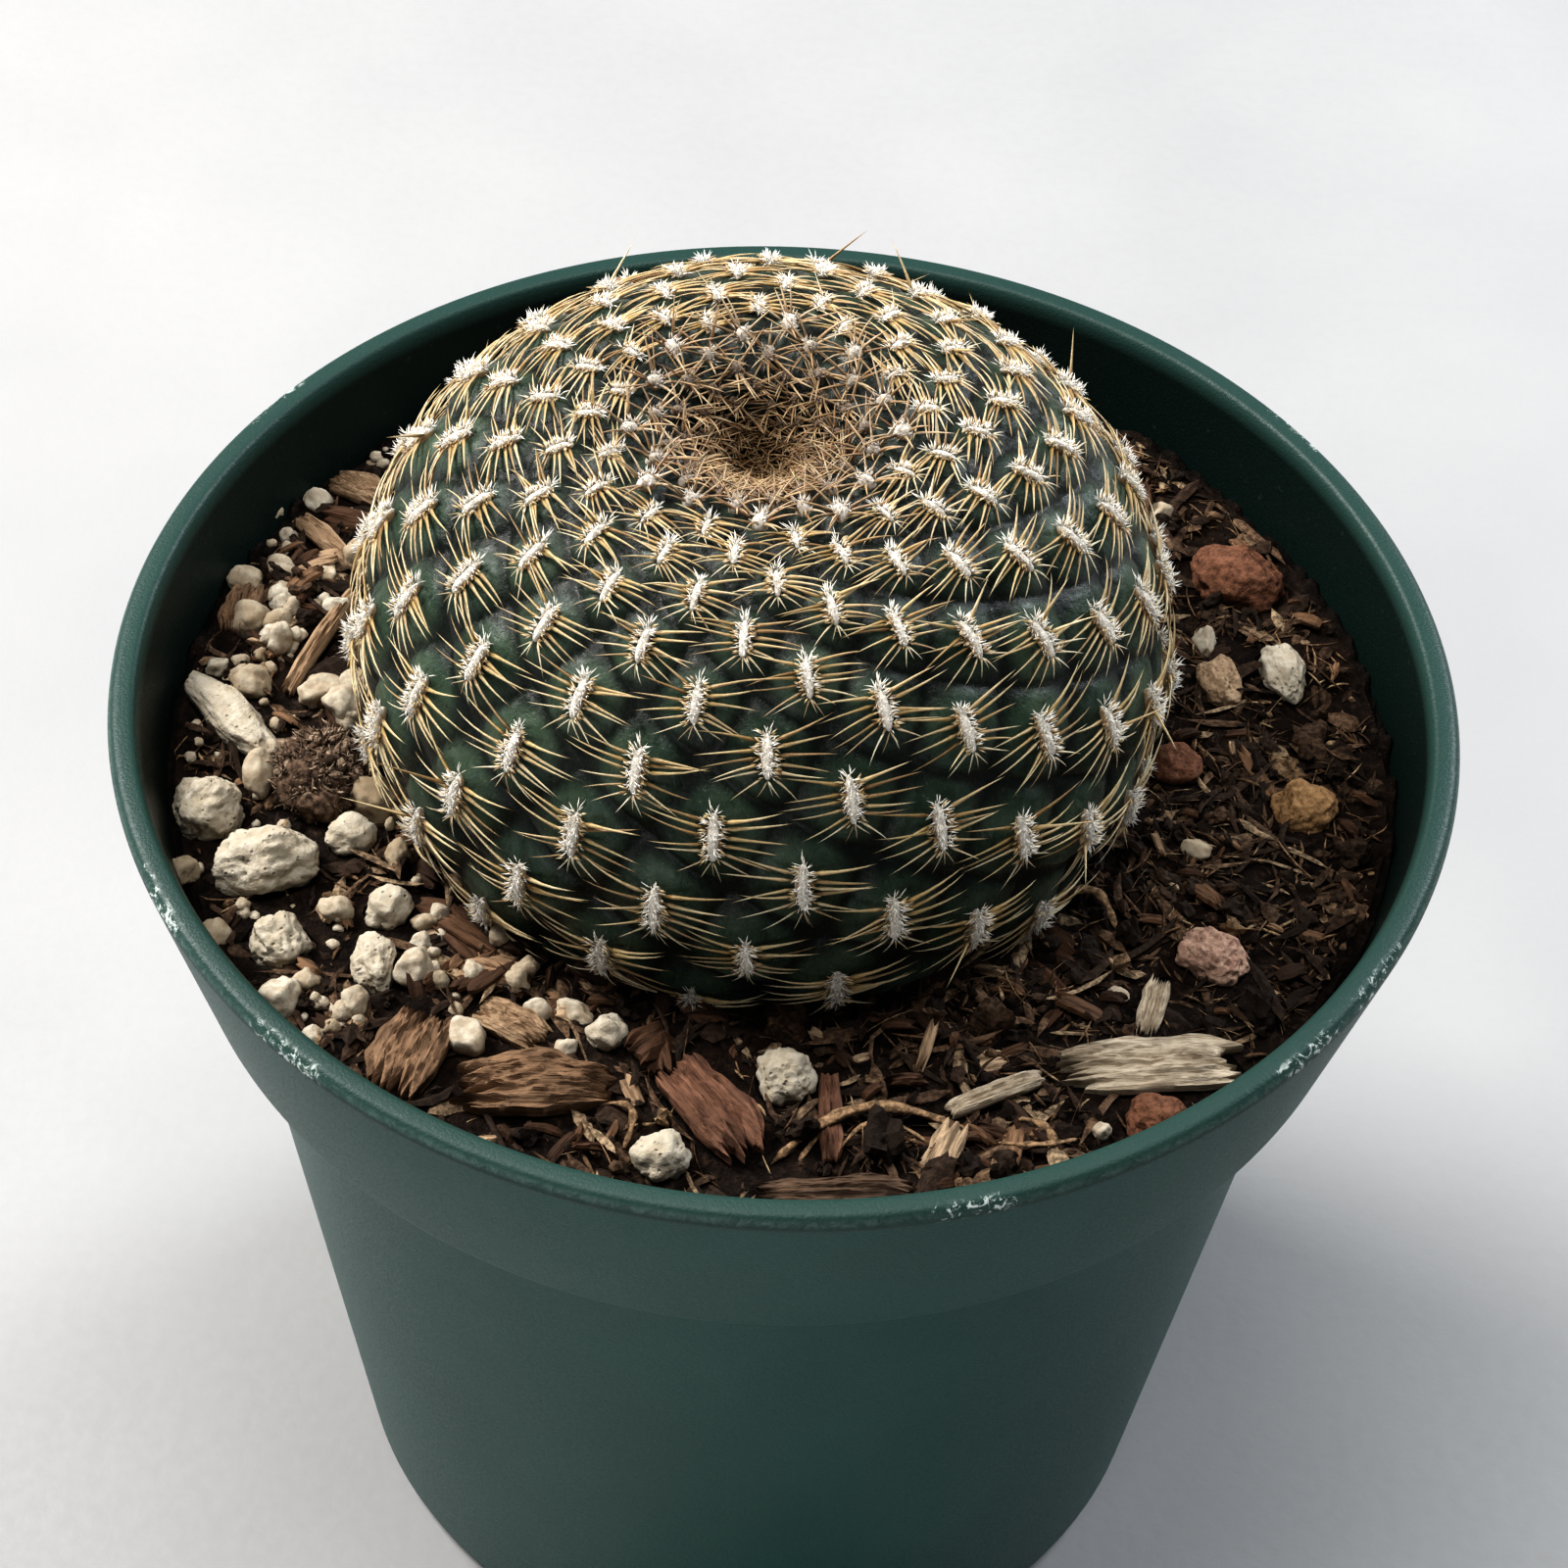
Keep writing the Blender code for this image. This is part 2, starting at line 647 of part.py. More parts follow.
# Pieces that lie on the mix, in millimetres and degrees:
# x, y, length, width, thickness, heading, share of the thickness above the mix
PERLITE = (
    (-44.0, -0.5, 11.0, 3.6, 3.4, -48, 0.70),
    (-44.6, -10.3, 5.4, 5.4, 5.0, 0, 0.65),
    (-39.4, -15.6, 8.2, 5.8, 5.4, 12, 0.70),
    (-37.6, -23.0, 4.8, 4.6, 4.4, 20, 0.65),
    (-29.6, -19.2, 3.8, 3.6, 3.4, 0, 0.65),
    (-30.2, -24.8, 3.6, 5.0, 3.6, 10, 0.70),
    (-33.2, -12.2, 3.8, 3.6, 3.4, 35, 0.70),
    (-12.0, -30.9, 3.2, 3.0, 3.0, 0, 0.65),
    (-7.4, -42.2, 4.1, 4.0, 3.8, 0, 0.65),
    (1.4, -34.4, 4.2, 4.6, 4.2, 30, 0.70),
    (40.2, 10.7, 6.2, 3.4, 3.4, 108, 0.65),
)
CLAY = (
    (37.0, 21.6, 8.2, 6.4, 4.8, -20, 0.60),
    (33.7, -19.8, 5.6, 4.6, 4.0, -35, 0.65),
    (29.0, -36.5, 4.6, 4.2, 3.6, 10, 0.70),
    (35.0, 9.4, 3.6, 5.0, 3.2, 15, 0.65),
    (31.4, 0.2, 4.2, 4.0, 3.2, 0, 0.60),
    (41.4, -4.0, 5.0, 4.8, 4.0, 40, 0.55),
)
BARK = (
    (-36.6, 27.0, 5.6, 2.8, 1.6, -25, 0.75),
    (-44.8, 12.2, 6.2, 3.0, 1.8, 82, 0.75),
    (-26.6, -33.6, 8.2, 5.4, 2.2, 72, 0.75),
    (-17.0, -36.1, 12.0, 5.4, 2.8, 5, 0.75),
    (-19.4, -29.8, 6.2, 3.2, 1.6, -30, 0.75),
    (-3.8, -37.8, 10.4, 4.8, 2.0, -52, 0.80),
    (5.6, -44.6, 12.4, 3.4, 1.4, 3, 0.75),
    (28.9, -31.0, 14.0, 5.2, 1.8, 8, 0.80),
    (29.1, -24.6, 6.2, 2.0, 1.4, 76, 0.75),
)
STICKS = (
    (-38.9, 20.6, 7.6, 2.0, 1.6, -47, 0.75),
    (-37.9, 8.9, 13.0, 1.6, 1.5, 70, 0.75),
    (4.9, -37.3, 8.6, 1.7, 1.6, -87, 0.75),
    (17.2, -34.2, 8.2, 1.8, 1.6, 28, 0.75),
)
PEAT = (-36.1, -6.2, 7.6, 8.0, 5.8, 0, 0.65)


def lay(name, row, shape, skin, pockets):
    """Puts a piece on the mix, and a slightly larger copy of it among the pocket cutters."""
    x, y, long, wide, thick, heading, above = row
    size = Vector((long, wide, thick)) * MM
    height = soil_height(x * MM, y * MM) + (above - 0.5) * size.z
    place = (x * MM, y * MM, height)
    turn = (0.0, 0.0, math.radians(heading))
    piece = object_from(name, shape(size), [skin])
    larger = object_from(name + "_pocket", shape(size), [], pockets)
    for corner in larger.data.vertices:
        corner.co = Vector(corner.co[axis] * (size[axis] + POCKET_ROOM) / size[axis] for axis in range(3))
    for made in (piece, larger):
        made.location = place
        made.rotation_euler = turn
    cutter(larger)
    return piece


def build_dressing(pockets):
    perlite = material("perlite_white", (0.72, 0.68, 0.58, 1), 0.9)
    clay = material("clay_brown", (0.30, 0.13, 0.07, 1), 0.9)
    bark = material("bark_brown", (0.22, 0.12, 0.07, 1), 0.9)
    peat = material("peat_dark", (0.06, 0.035, 0.02, 1), 1.0)
    for index, row in enumerate(PERLITE, 1):
        detail = 2 if max(row[2:4]) > 4.5 else 1
        lay(f"perlite_{index}", row, lambda size: lump(size, detail, index), perlite, pockets)
    for index, row in enumerate(CLAY, 1):
        lay(f"clay_{index}", row, lambda size: lump(size, 2, 20 + index), clay, pockets)
    for index, row in enumerate(BARK, 1):
        lay(f"bark_{index}", row, lambda size: chip(size, index), bark, pockets)
    for index, row in enumerate(STICKS, 1):
        lay(f"stick_{index}", row, lambda size: stick(size, index), bark, pockets)
    lay("peat_clump", PEAT, lambda size: lump(size, 2, 40), peat, pockets)


def main():
    clear_scene()
    pockets = bpy.data.collections.new("pockets")
    pockets.hide_render = True
    bpy.context.scene.collection.children.link(pockets)
    build_pot()
    build_cactus()
    build_dressing(pockets)
    build_potting_mix(build_plant_cutter(), pockets)


main()
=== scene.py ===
"""The looks of the potted Sulcorebutia arenacea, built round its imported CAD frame.

Metres, +Z up, the pot's underside on z = 0 and the viewer at -Y. The plant is grown again on the growth
spiral of its CAD node, with every spine as its own tapering rod, felt cushions and hairs. The potting mix
gets a rough crust of crumbs, fibres and grit, and each loose piece on it is shaped in detail where its CAD
node lies. All random draws are seeded.
"""

import math
from collections import namedtuple

import bmesh
import bpy
import numpy as np
from mathutils import Euler, Matrix, Vector, noise


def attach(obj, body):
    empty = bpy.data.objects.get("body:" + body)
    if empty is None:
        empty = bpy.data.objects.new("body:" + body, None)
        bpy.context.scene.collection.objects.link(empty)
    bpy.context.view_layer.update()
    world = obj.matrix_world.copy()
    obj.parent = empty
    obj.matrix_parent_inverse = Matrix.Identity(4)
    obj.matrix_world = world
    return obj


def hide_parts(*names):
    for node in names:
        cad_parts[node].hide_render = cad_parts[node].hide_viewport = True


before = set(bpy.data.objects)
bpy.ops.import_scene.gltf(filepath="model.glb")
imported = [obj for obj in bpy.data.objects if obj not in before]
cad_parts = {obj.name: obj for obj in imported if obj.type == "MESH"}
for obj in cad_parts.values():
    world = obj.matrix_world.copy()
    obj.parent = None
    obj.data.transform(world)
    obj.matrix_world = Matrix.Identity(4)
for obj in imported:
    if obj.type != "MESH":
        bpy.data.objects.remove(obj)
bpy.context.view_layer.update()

MM = 0.001

# Pot
POT_SEGMENTS = 256
CORNER_STEPS = 3
POT_HEIGHT = 88.0 * MM
RIM_RADIUS = 53.0 * MM
LIP_WIDTH = 2.4 * MM
COLLAR_HEIGHT = 19.2 * MM
COLLAR_FOOT_RADIUS = 48.4 * MM
BODY_TOP_RADIUS = 45.0 * MM
BASE_RADIUS = 35.7 * MM
WALL = 1.7 * MM
FLOOR = 1.8 * MM
DRAIN_HOLES = 8
DRAIN_RADIUS = 3.2 * MM
DRAIN_CIRCLE = 24.0 * MM

# Potting mix
SOIL_LEVEL = 80.0 * MM
SOIL_BUMP = 0.9 * MM
SOIL_LUMP_SIZE = 15.0 * MM
SOIL_GRAIN_SIZE = 5.5 * MM

# Plant
PLANT_CENTRE = Vector((-2.15, 2.65, 90.05)) * MM
PLANT_LEAN = Euler((math.radians(3.5), math.radians(-1.6), 0.0))
GLOBE_RADIUS = 31.2 * MM
GLOBE_HALF_HEIGHT = 26.2 * MM
SHOULDER = 0.8
CROWN_DEPTH = 9.0 * MM
CROWN_RADIUS = 7.4 * MM
RELIEF = 0.6 * MM
FAR_DROP = 1.3 * MM
NECK_RADIUS = 11.0 * MM
NECK_DEPTH = 27.0 * MM
ROOT_DEPTH = 42.0 * MM

# Growth spiral. GROWTH turns a leaf's number, in hundreds, into the logarithm of its polar angle from the
# crown. From the crown outwards: the bowl's tuft starts at TUFT_FIRST, felt at NEWEST and comb-like spines at
# YOUNG, LAST_STAR is the lowest areole, the skin meets the mix at GROUND_LEAF and ends at LAST_LEAF.
GOLDEN = math.radians(137.50776)
FIRST_ANGLE = -1.3808
GROWTH = (-0.2957, 1.3015, -0.3663)
TUFT_FIRST = -195
NEWEST = -150
YOUNG = -62
LAST_STAR = 101
GROUND_LEAF = 104
LAST_LEAF = 151
RIGHT_STEP = 13
LEFT_STEP = 21
FULL_SPACING = 9.4 * MM

# Areoles and spines, at full size on the equator. A taper is a rod's girth from root to tip, as shares.
AREOLE_LENGTH = 5.0 * MM
AREOLE_WIDTH = 1.15 * MM
AREOLE_HEIGHT = 0.78 * MM
LARGE_FELT = -20
SPINE_LENGTH = 6.1 * MM
SPINE_GIRTH = 0.125 * MM
SPINE_ROOT = 0.12 * MM
GROWN_TAPER = np.array([1.0, 1.50, 0.98, 0.74, 0.42, 0.05])
YOUNG_SPINES = 11
TUFT_SPINES = 5
YOUNG_TAPER = np.array([1.0, 1.4, 0.95, 0.72, 0.42, 0.05])
# Some spines stand off: their share, and by how many degrees
STRAY_SHARE = 0.02
STRAY_RISE = 32.0
HAIRS = 125
HAIR_LENGTH = 0.76 * MM
HAIR_GIRTH = 0.048 * MM
HAIR_TAPER = np.array([0.6, 1.0, 0.1])
BRISTLES = 44
BRISTLE_LENGTH = 1.05 * MM
BRISTLE_GIRTH = 0.088 * MM
BRISTLE_TAPER = np.array([0.8, 1.0, 0.1])


def wrapped(angle):
    """The same direction, from -pi to pi."""
    return (angle + math.pi) % math.tau - math.pi


# How far round the axis a leaf lies from the next one along each family of spirals
RIGHT_TURN = wrapped(-RIGHT_STEP * GOLDEN)
LEFT_TURN = wrapped(-LEFT_STEP * GOLDEN)


# Meshes


class Bag:
    """Gathers many small shapes into one mesh, with named numbers per point for the materials to read."""

    def __init__(self):
        self.points = []
        self.triangles = []
        self.values = {}
        self.count = 0

    def add(self, points, triangles, **values):
        """points is (n, 3), triangles holds indices into them, and each value is one number or n numbers."""
        self.points.append(points)
        self.triangles.append(triangles + self.count)
        self.count += len(points)
        for name, value in values.items():
            self.values.setdefault(name, []).append(np.broadcast_to(value, len(points)))

    def to_object(self, name, material, smooth=True):
        """The mesh as an object in the scene."""
        mesh = bpy.data.meshes.new(name)
        points = np.concatenate(self.points).astype(np.float32)
        triangles = np.concatenate(self.triangles).astype(np.int32)
        mesh.vertices.add(len(points))
        mesh.vertices.foreach_set("co", points.ravel())
        mesh.loops.add(triangles.size)
        mesh.loops.foreach_set("vertex_index", triangles.ravel())
        mesh.polygons.add(len(triangles))
        mesh.polygons.foreach_set("loop_start", np.arange(0, triangles.size, 3, dtype=np.int32))
        mesh.polygons.foreach_set("use_smooth", np.full(len(triangles), smooth))
        mesh.update(calc_edges=True)
        for key, parts in self.values.items():
            layer = mesh.attributes.new(key, "FLOAT", "POINT")
            layer.data.foreach_set("value", np.concatenate(parts).astype(np.float32))
        mesh.materials.append(material)
        made = bpy.data.objects.new(name, mesh)
        bpy.context.scene.collection.objects.link(made)
        return made


def noise_at(points, size, seed, octaves):
    """Smooth noise, about -1 to 1, at each point; size is that of its largest features."""
    shift = Vector((seed * 7.31, seed * 3.17, seed * 5.73))
    return np.array([noise.fractal(Vector(p) / size + shift, 1.0, 2.0, octaves) for p in points])


def smooth_step(values, low, high):
    """0 below low and 1 above high, eased between them."""
    share = np.clip((values - low) / (high - low), 0.0, 1.0)
    return share * share * (3.0 - 2.0 * share)


def unit(vectors):
    """Vectors at length 1."""
    return vectors / np.maximum(np.linalg.norm(vectors, axis=-1, keepdims=True), 1e-12)


def ball(detail):
    """Points and triangles of a unit ball."""
    builder = bmesh.new()
    bmesh.ops.create_icosphere(builder, subdivisions=detail, radius=1.0)
    points = np.array([tuple(vertex.co) for vertex in builder.verts])
    triangles = np.array([[vertex.index for vertex in face.verts] for face in builder.faces])
    builder.free()
    return points, triangles


BALLS = {detail: ball(detail) for detail in (1, 2, 3, 4, 5)}


def fan(tip, ring, count):
    """Triangles from the point tip to a closed ring of count points, whose first is the point ring."""
    first = np.arange(count)
    return np.stack([np.full(count, tip), first + ring, (first + 1) % count + ring], -1)


def grid_triangles(rows, columns, closed=False):
    """Two triangles per cell of a grid of points; closed joins the last column to the first."""
    cells = columns if closed else columns - 1
    row, column = np.meshgrid(np.arange(rows - 1), np.arange(cells), indexing="ij")
    a = row * columns + column
    b = row * columns + (column + 1) % columns
    c, d = a + columns, b + columns
    return np.concatenate([np.stack([a, b, d], -1).reshape(-1, 3), np.stack([a, d, c], -1).reshape(-1, 3)])


def rod_triangles(rings, sides):
    """A closed rod: a point, rings of points, and a point."""
    sleeve = 1 + grid_triangles(rings, sides, closed=True)
    last = 1 + (rings - 1) * sides
    return np.concatenate([fan(0, 1, sides)[:, ::-1], sleeve, fan(last + sides, last, sides)])


def add_rods(bag, lines, girths, sides, flat=1.0, **values):
    """Closed tapering rods along lines, (rods, points, 3), with radii (rods, points).

    A rod is flat times as thick as it is wide, and each value has one number per rod.
    """
    count, steps = girths.shape
    along = unit(np.gradient(lines, axis=1))
    chord = unit(lines[:, -1] - lines[:, 0])
    helper = np.where(np.abs(chord[:, 2:]) < 0.8, [[0.0, 0.0, 1.0]], [[1.0, 0.0, 0.0]])
    first = unit(np.cross(along, helper[:, None]))
    second = np.cross(along, first)
    turn = math.tau * np.arange(sides) / sides
    wide = first[:, 1:-1, None] * np.cos(turn)[:, None]
    thick = second[:, 1:-1, None] * (flat * np.sin(turn))[:, None]
    rings = lines[:, 1:-1, None] + girths[:, 1:-1, None, None] * (wide + thick)
    points = np.concatenate([lines[:, :1], rings.reshape(count, -1, 3), lines[:, -1:]], axis=1)
    template = rod_triangles(steps - 2, sides)
    offsets = np.arange(count)[:, None, None] * points.shape[1]
    level = np.concatenate([[0.0], np.repeat(np.arange(1, steps - 1), sides) / (steps - 1), [1.0]])
    per_point = {key: np.repeat(value, points.shape[1]) for key, value in values.items()}
    triangles = (template + offsets).reshape(-1, 3)
    bag.add(points.reshape(-1, 3), triangles, along=np.tile(level, count), **per_point)


def solid(name, finish, points, triangles, **values):
    """An object of one closed shape."""
    bag = Bag()
    bag.add(points, triangles, **values)
    return bag.to_object(name, finish)


def rods(name, finish, lines, girths, sides=3, smooth=True, **values):
    """An object of many closed tapering rods."""
    bag = Bag()
    add_rods(bag, lines, girths, sides, **values)
    return bag.to_object(name, finish, smooth)


def bent_lines(roots, ways, bends, lengths, steps):
    """Lines that set out along ways and turn towards bends as they go, as (lines, steps, 3)."""
    share = np.linspace(0.0, 1.0, steps)[None, :, None]
    middle = (share[:, 1:] + share[:, :-1]) / 2
    headings = unit(ways[:, None] * (1.0 - middle) + bends[:, None] * middle)
    strides = headings * (lengths[:, None, None] / (steps - 1))
    return np.concatenate([roots[:, None], roots[:, None] + np.cumsum(strides, axis=1)], axis=1)


# Materials


class Finish:
    """A Principled material put together from procedural steps. Sizes are in metres."""

    def __init__(self, name):
        self.material = bpy.data.materials.new(name)
        self.material.use_nodes = True
        self.tree = self.material.node_tree
        self.shader = self.tree.nodes["Principled BSDF"]
        self.place = self.node("ShaderNodeTexCoord").outputs["Object"]

    def node(self, kind, inputs=None, **settings):
        """A node with its settings, and with its inputs fed by name or index."""
        made = self.tree.nodes.new(kind)
        for key, value in settings.items():
            setattr(made, key, value)
        for key, value in (inputs or {}).items():
            self.feed(made.inputs[key], value)
        return made

    def feed(self, socket, value):
        """Link a socket to another one, or set its value."""
        if isinstance(value, bpy.types.NodeSocket):
            self.tree.links.new(value, socket)
        elif isinstance(value, tuple) and len(value) == 3 and socket.type == "RGBA":
            socket.default_value = (*value, 1.0)
        else:
            socket.default_value = value

    def stretched(self, scale):
        """The place with its axes scaled, so that a pattern gets longer where the scale is below 1."""
        return self.node("ShaderNodeMapping", {"Vector": self.place, "Scale": scale}).outputs["Vector"]

    def noise(self, size, detail=3.0, rough=0.55, place=None, distortion=0.0):
        """Noise from 0 to 1, mostly near 0.5, whose largest features have the given size."""
        inputs = {"Vector": place or self.place, "Scale": 1.0 / size, "Detail": detail}
        inputs |= {"Roughness": rough, "Distortion": distortion}
        return self.node("ShaderNodeTexNoise", inputs).outputs["Fac"]

    def cells(self, size):
        """0 at the centres of cells of about the given size, and more away from them."""
        inputs = {"Vector": self.place, "Scale": 1.0 / size}
        return self.node("ShaderNodeTexVoronoi", inputs).outputs["Distance"]

    def attribute(self, name):
        """A number that a Bag's values gave to each point of the mesh."""
        return self.node("ShaderNodeAttribute", attribute_name=name).outputs["Fac"]

    def axes(self):
        return self.node("ShaderNodeSeparateXYZ", {"Vector": self.place}).outputs

    def math(self, operation, first, second=0.0):
        return self.node("ShaderNodeMath", {0: first, 1: second}, operation=operation).outputs["Value"]

    def times(self, first, second):
        return self.math("MULTIPLY", first, second)

    def plus(self, first, second, share=None):
        """first and second added up, or first and a share of second."""
        return self.math("ADD", first, self.times(second, share) if share else second)

    def spread(self, value, low, high, start=0.0, end=1.0):
        """value's stretch from low to high, eased and clamped, as start to end."""
        inputs = {"Value": value, "From Min": low, "From Max": high, "To Min": start, "To Max": end}
        return self.node("ShaderNodeMapRange", inputs, interpolation_type="SMOOTHSTEP").outputs["Result"]

    def ramp(self, value, *stops):
        """A colour that goes from stop to stop as value rises; each stop is a position and a colour."""
        made = self.node("ShaderNodeValToRGB", {"Fac": value})
        line = made.color_ramp.elements
        while len(line) < len(stops):
            line.new(1.0)
        for entry, (position, colour) in zip(line, stops):
            entry.position = position
            entry.color = (*colour, 1.0)
        return made.outputs["Color"]

    def mix(self, share, first, second, blend="MIX"):
        # The colour sockets share their names with the node's hidden ones for numbers, so they go by index
        inputs = {0: share, 6: first, 7: second}
        return self.node("ShaderNodeMix", inputs, data_type="RGBA", blend_type=blend).outputs[2]

    def laid(self, under, colour, value, low, high, start, end):
        """A colour over another, in shares from start to end where value goes from low to high."""
        return self.mix(self.spread(value, low, high, start, end), under, colour)

    def eased(self, grain, start, end):
        """A number that goes from start to end with a noise's usual range."""
        return self.spread(grain, 0.3, 0.7, start, end)

    def done(self, colour, roughness, height, depth, **constants):
        """Close the material; depth is that of the relief which height's run from 0 to 1 stands for."""
        bump = self.node("ShaderNodeBump", {"Height": height, "Distance": depth}).outputs["Normal"]
        inputs = {"Base Color": colour, "Roughness": roughness, "Normal": bump}
        inputs |= {name.replace("_", " "): value for name, value in constants.items()}
        for name, value in inputs.items():
            self.feed(self.shader.inputs[name], value)
        return self.material


def toned(colour, factor):
    """A darker or lighter tone of a colour."""
    return tuple(min(1.0, factor * channel) for channel in colour)


def flesh_finish():
    """Satin dark green skin fading to grey-green, with pale specks, fine creases and painted shade in the
    creases, furrows, bowl and towards the crown.
    """
    skin = Finish("flesh")
    broad = skin.noise(6 * MM, 3.0)
    creases = skin.noise(1.0 * MM, 6.0, 0.7, place=skin.stretched((1.0, 1.0, 0.35)), distortion=0.5)
    specks = skin.noise(0.35 * MM, 3.0, 0.6)
    bloom = skin.noise(2.4 * MM, 5.0, 0.65, distortion=0.5)
    furrow = skin.attribute("rise")
    base = skin.ramp(
        broad, (0.32, (0.008, 0.018, 0.010)), (0.50, (0.022, 0.042, 0.025)), (0.68, (0.056, 0.084, 0.052))
    )
    bloomed = skin.laid(base, (0.060, 0.088, 0.080), bloom, 0.50, 0.60, 0.0, 0.24)
    dusty = skin.laid(bloomed, (0.20, 0.24, 0.17), specks, 0.60, 0.76, 0.0, 0.30)
    # Painted shade along the low lines of the fine creases
    lined = skin.laid(dusty, (0.006, 0.012, 0.006), creases, 0.36, 0.45, 0.70, 0.0)
    # Painted shade: near black where the rise attribute is low, in the furrows, the bowl and towards the
    # crown
    painted_shade = skin.laid(lined, (0.0015, 0.003, 0.002), furrow, 0.0, 0.50, 0.95, 0.0)
    roughness = skin.eased(specks, 0.24, 0.40)
    relief = skin.plus(skin.times(creases, 0.8), specks, 0.25)
    return skin.done(painted_shade, roughness, relief, 0.17 * MM, Specular_IOR_Level=0.21, Sheen_Weight=0.04)


def spine_finish(name, root, middle, tip):
    """Straw-gold spines: darker swollen bases, translucent tips, some paler or browner than the rest."""
    straw = Finish(name)
    along = straw.attribute("along")
    body = straw.ramp(along, (0.0, root), (0.22, middle), (0.62, tip), (0.86, tip), (1.0, root))
    pale = straw.mix(straw.attribute("pale"), body, (0.80, 0.73, 0.58))
    grain = straw.noise(0.35 * MM, 3.0, 0.6)
    flecked = straw.laid(pale, (0.30, 0.16, 0.06), grain, 0.42, 0.75, 0.0, 0.45)
    tint = straw.attribute("tint")
    shade = straw.ramp(tint, (0.0, (0.42, 0.32, 0.22)), (0.3, (0.85, 0.80, 0.72)), (1.0, (1.1, 1.1, 1.1)))
    shaded = straw.mix(1.0, flecked, shade, "MULTIPLY")
    roughness = straw.eased(grain, 0.34, 0.55)
    return straw.done(shaded, roughness, grain, 0.06 * MM, Subsurface_Weight=0.12, Subsurface_Scale=0.4 * MM)


def felt_finish():
    """Off-white matted wool, browner at its edges and older ones greyer."""
    wool = Finish("felt")
    tufts = wool.noise(0.28 * MM, 4.0, 0.7)
    rim = wool.spread(wool.attribute("edge"), 0.22, 0.85)
    white = wool.ramp(tufts, (0.30, (0.60, 0.52, 0.42)), (0.60, (0.93, 0.89, 0.81)))
    brown = wool.mix(rim, (0.40, 0.25, 0.11), white)
    aged = wool.mix(wool.attribute("aged"), brown, (0.42, 0.37, 0.31))
    young = wool.mix(wool.attribute("young"), aged, (0.12, 0.07, 0.035))
    return wool.done(young, wool.eased(tufts, 0.82, 1.0), tufts, 0.18 * MM, Sheen_Weight=0.4)


def hair_finish():
    """The single hairs of the wool, whiter than the cushion under them."""
    wool = Finish("felt_hair")
    grain = wool.noise(0.5 * MM, 2.0)
    white = wool.ramp(grain, (0.35, (0.84, 0.78, 0.67)), (0.65, (0.95, 0.92, 0.86)))
    aged = wool.mix(wool.attribute("aged"), white, (0.46, 0.42, 0.36))
    young = wool.mix(wool.attribute("young"), aged, (0.28, 0.18, 0.10))
    return wool.done(young, wool.eased(grain, 0.7, 0.95), grain, 0.02 * MM, Sheen_Weight=0.3)


def mix_finish(name, hollow_shade=None):
    """Dark peat: brown-black, with lighter tan crumbs where the noise peaks, and painted black shade in its
    hollows.
    """
    peat = Finish(name)
    crumbs = peat.noise(1.3 * MM, 5.0, 0.7)
    patches = peat.noise(9 * MM, 2.0)
    grit = peat.noise(0.35 * MM, 3.0, 0.7)
    dark = peat.ramp(
        crumbs, (0.36, (0.002, 0.0013, 0.001)), (0.58, (0.011, 0.0065, 0.0045)), (0.80, (0.060, 0.035, 0.020))
    )
    warm = peat.laid(dark, (0.024, 0.012, 0.007), patches, 0.45, 0.65, 0.0, 0.25)
    flecked = peat.laid(warm, (0.16, 0.10, 0.06), grit, 0.64, 0.76, 0.0, 0.3)
    # Painted shade: black in the crust's hollows, where its crumbly height is low
    if hollow_shade:
        height = peat.attribute(hollow_shade)
        flecked = peat.laid(flecked, (0.002, 0.0015, 0.001), height, -0.5, 0.6, 0.92, 0.0)
    roughness = peat.eased(crumbs, 0.95, 0.75)
    return peat.done(flecked, roughness, peat.plus(crumbs, grit, 0.4), 0.7 * MM, Specular_IOR_Level=0.08)


def perlite_finish():
    """Puffed volcanic glass: cream, porous, with painted shade in its pores and a few warm stains."""
    puff = Finish("perlite")
    pores = puff.cells(0.75 * MM)
    broad = puff.noise(1.6 * MM, 5.0, 0.62)
    cream = puff.ramp(broad, (0.32, (0.33, 0.275, 0.195)), (0.66, (0.475, 0.43, 0.35)))
    # Painted shade in the pores
    pits_shaded = puff.laid(cream, (0.18, 0.13, 0.075), pores, 0.04, 0.20, 0.60, 0.0)
    stains = puff.noise(3.2 * MM, 2.0)
    stained = puff.laid(pits_shaded, (0.40, 0.27, 0.14), stains, 0.58, 0.72, 0.0, 0.30)
    relief = puff.plus(broad, puff.spread(pores, 0.02, 0.25), 0.4)
    return puff.done(stained, puff.eased(broad, 0.95, 0.8), relief, 0.45 * MM)


def stone_finish(name, dark, light):
    """Fired clay and pumice: grainy and pitted, with painted shade in the pits."""
    stone = Finish(name)
    grain = stone.noise(0.8 * MM, 5.0, 0.7)
    pits = stone.cells(0.6 * MM)
    body = stone.ramp(grain, (0.32, dark), (0.68, light))
    # Painted shade in the pits
    pits_shaded = stone.laid(body, toned(dark, 0.35), pits, 0.08, 0.30, 0.6, 0.0)
    roughness = stone.eased(grain, 0.95, 0.78)
    return stone.done(pits_shaded, roughness, stone.plus(grain, pits, 0.5), 0.4 * MM, Specular_IOR_Level=0.2)


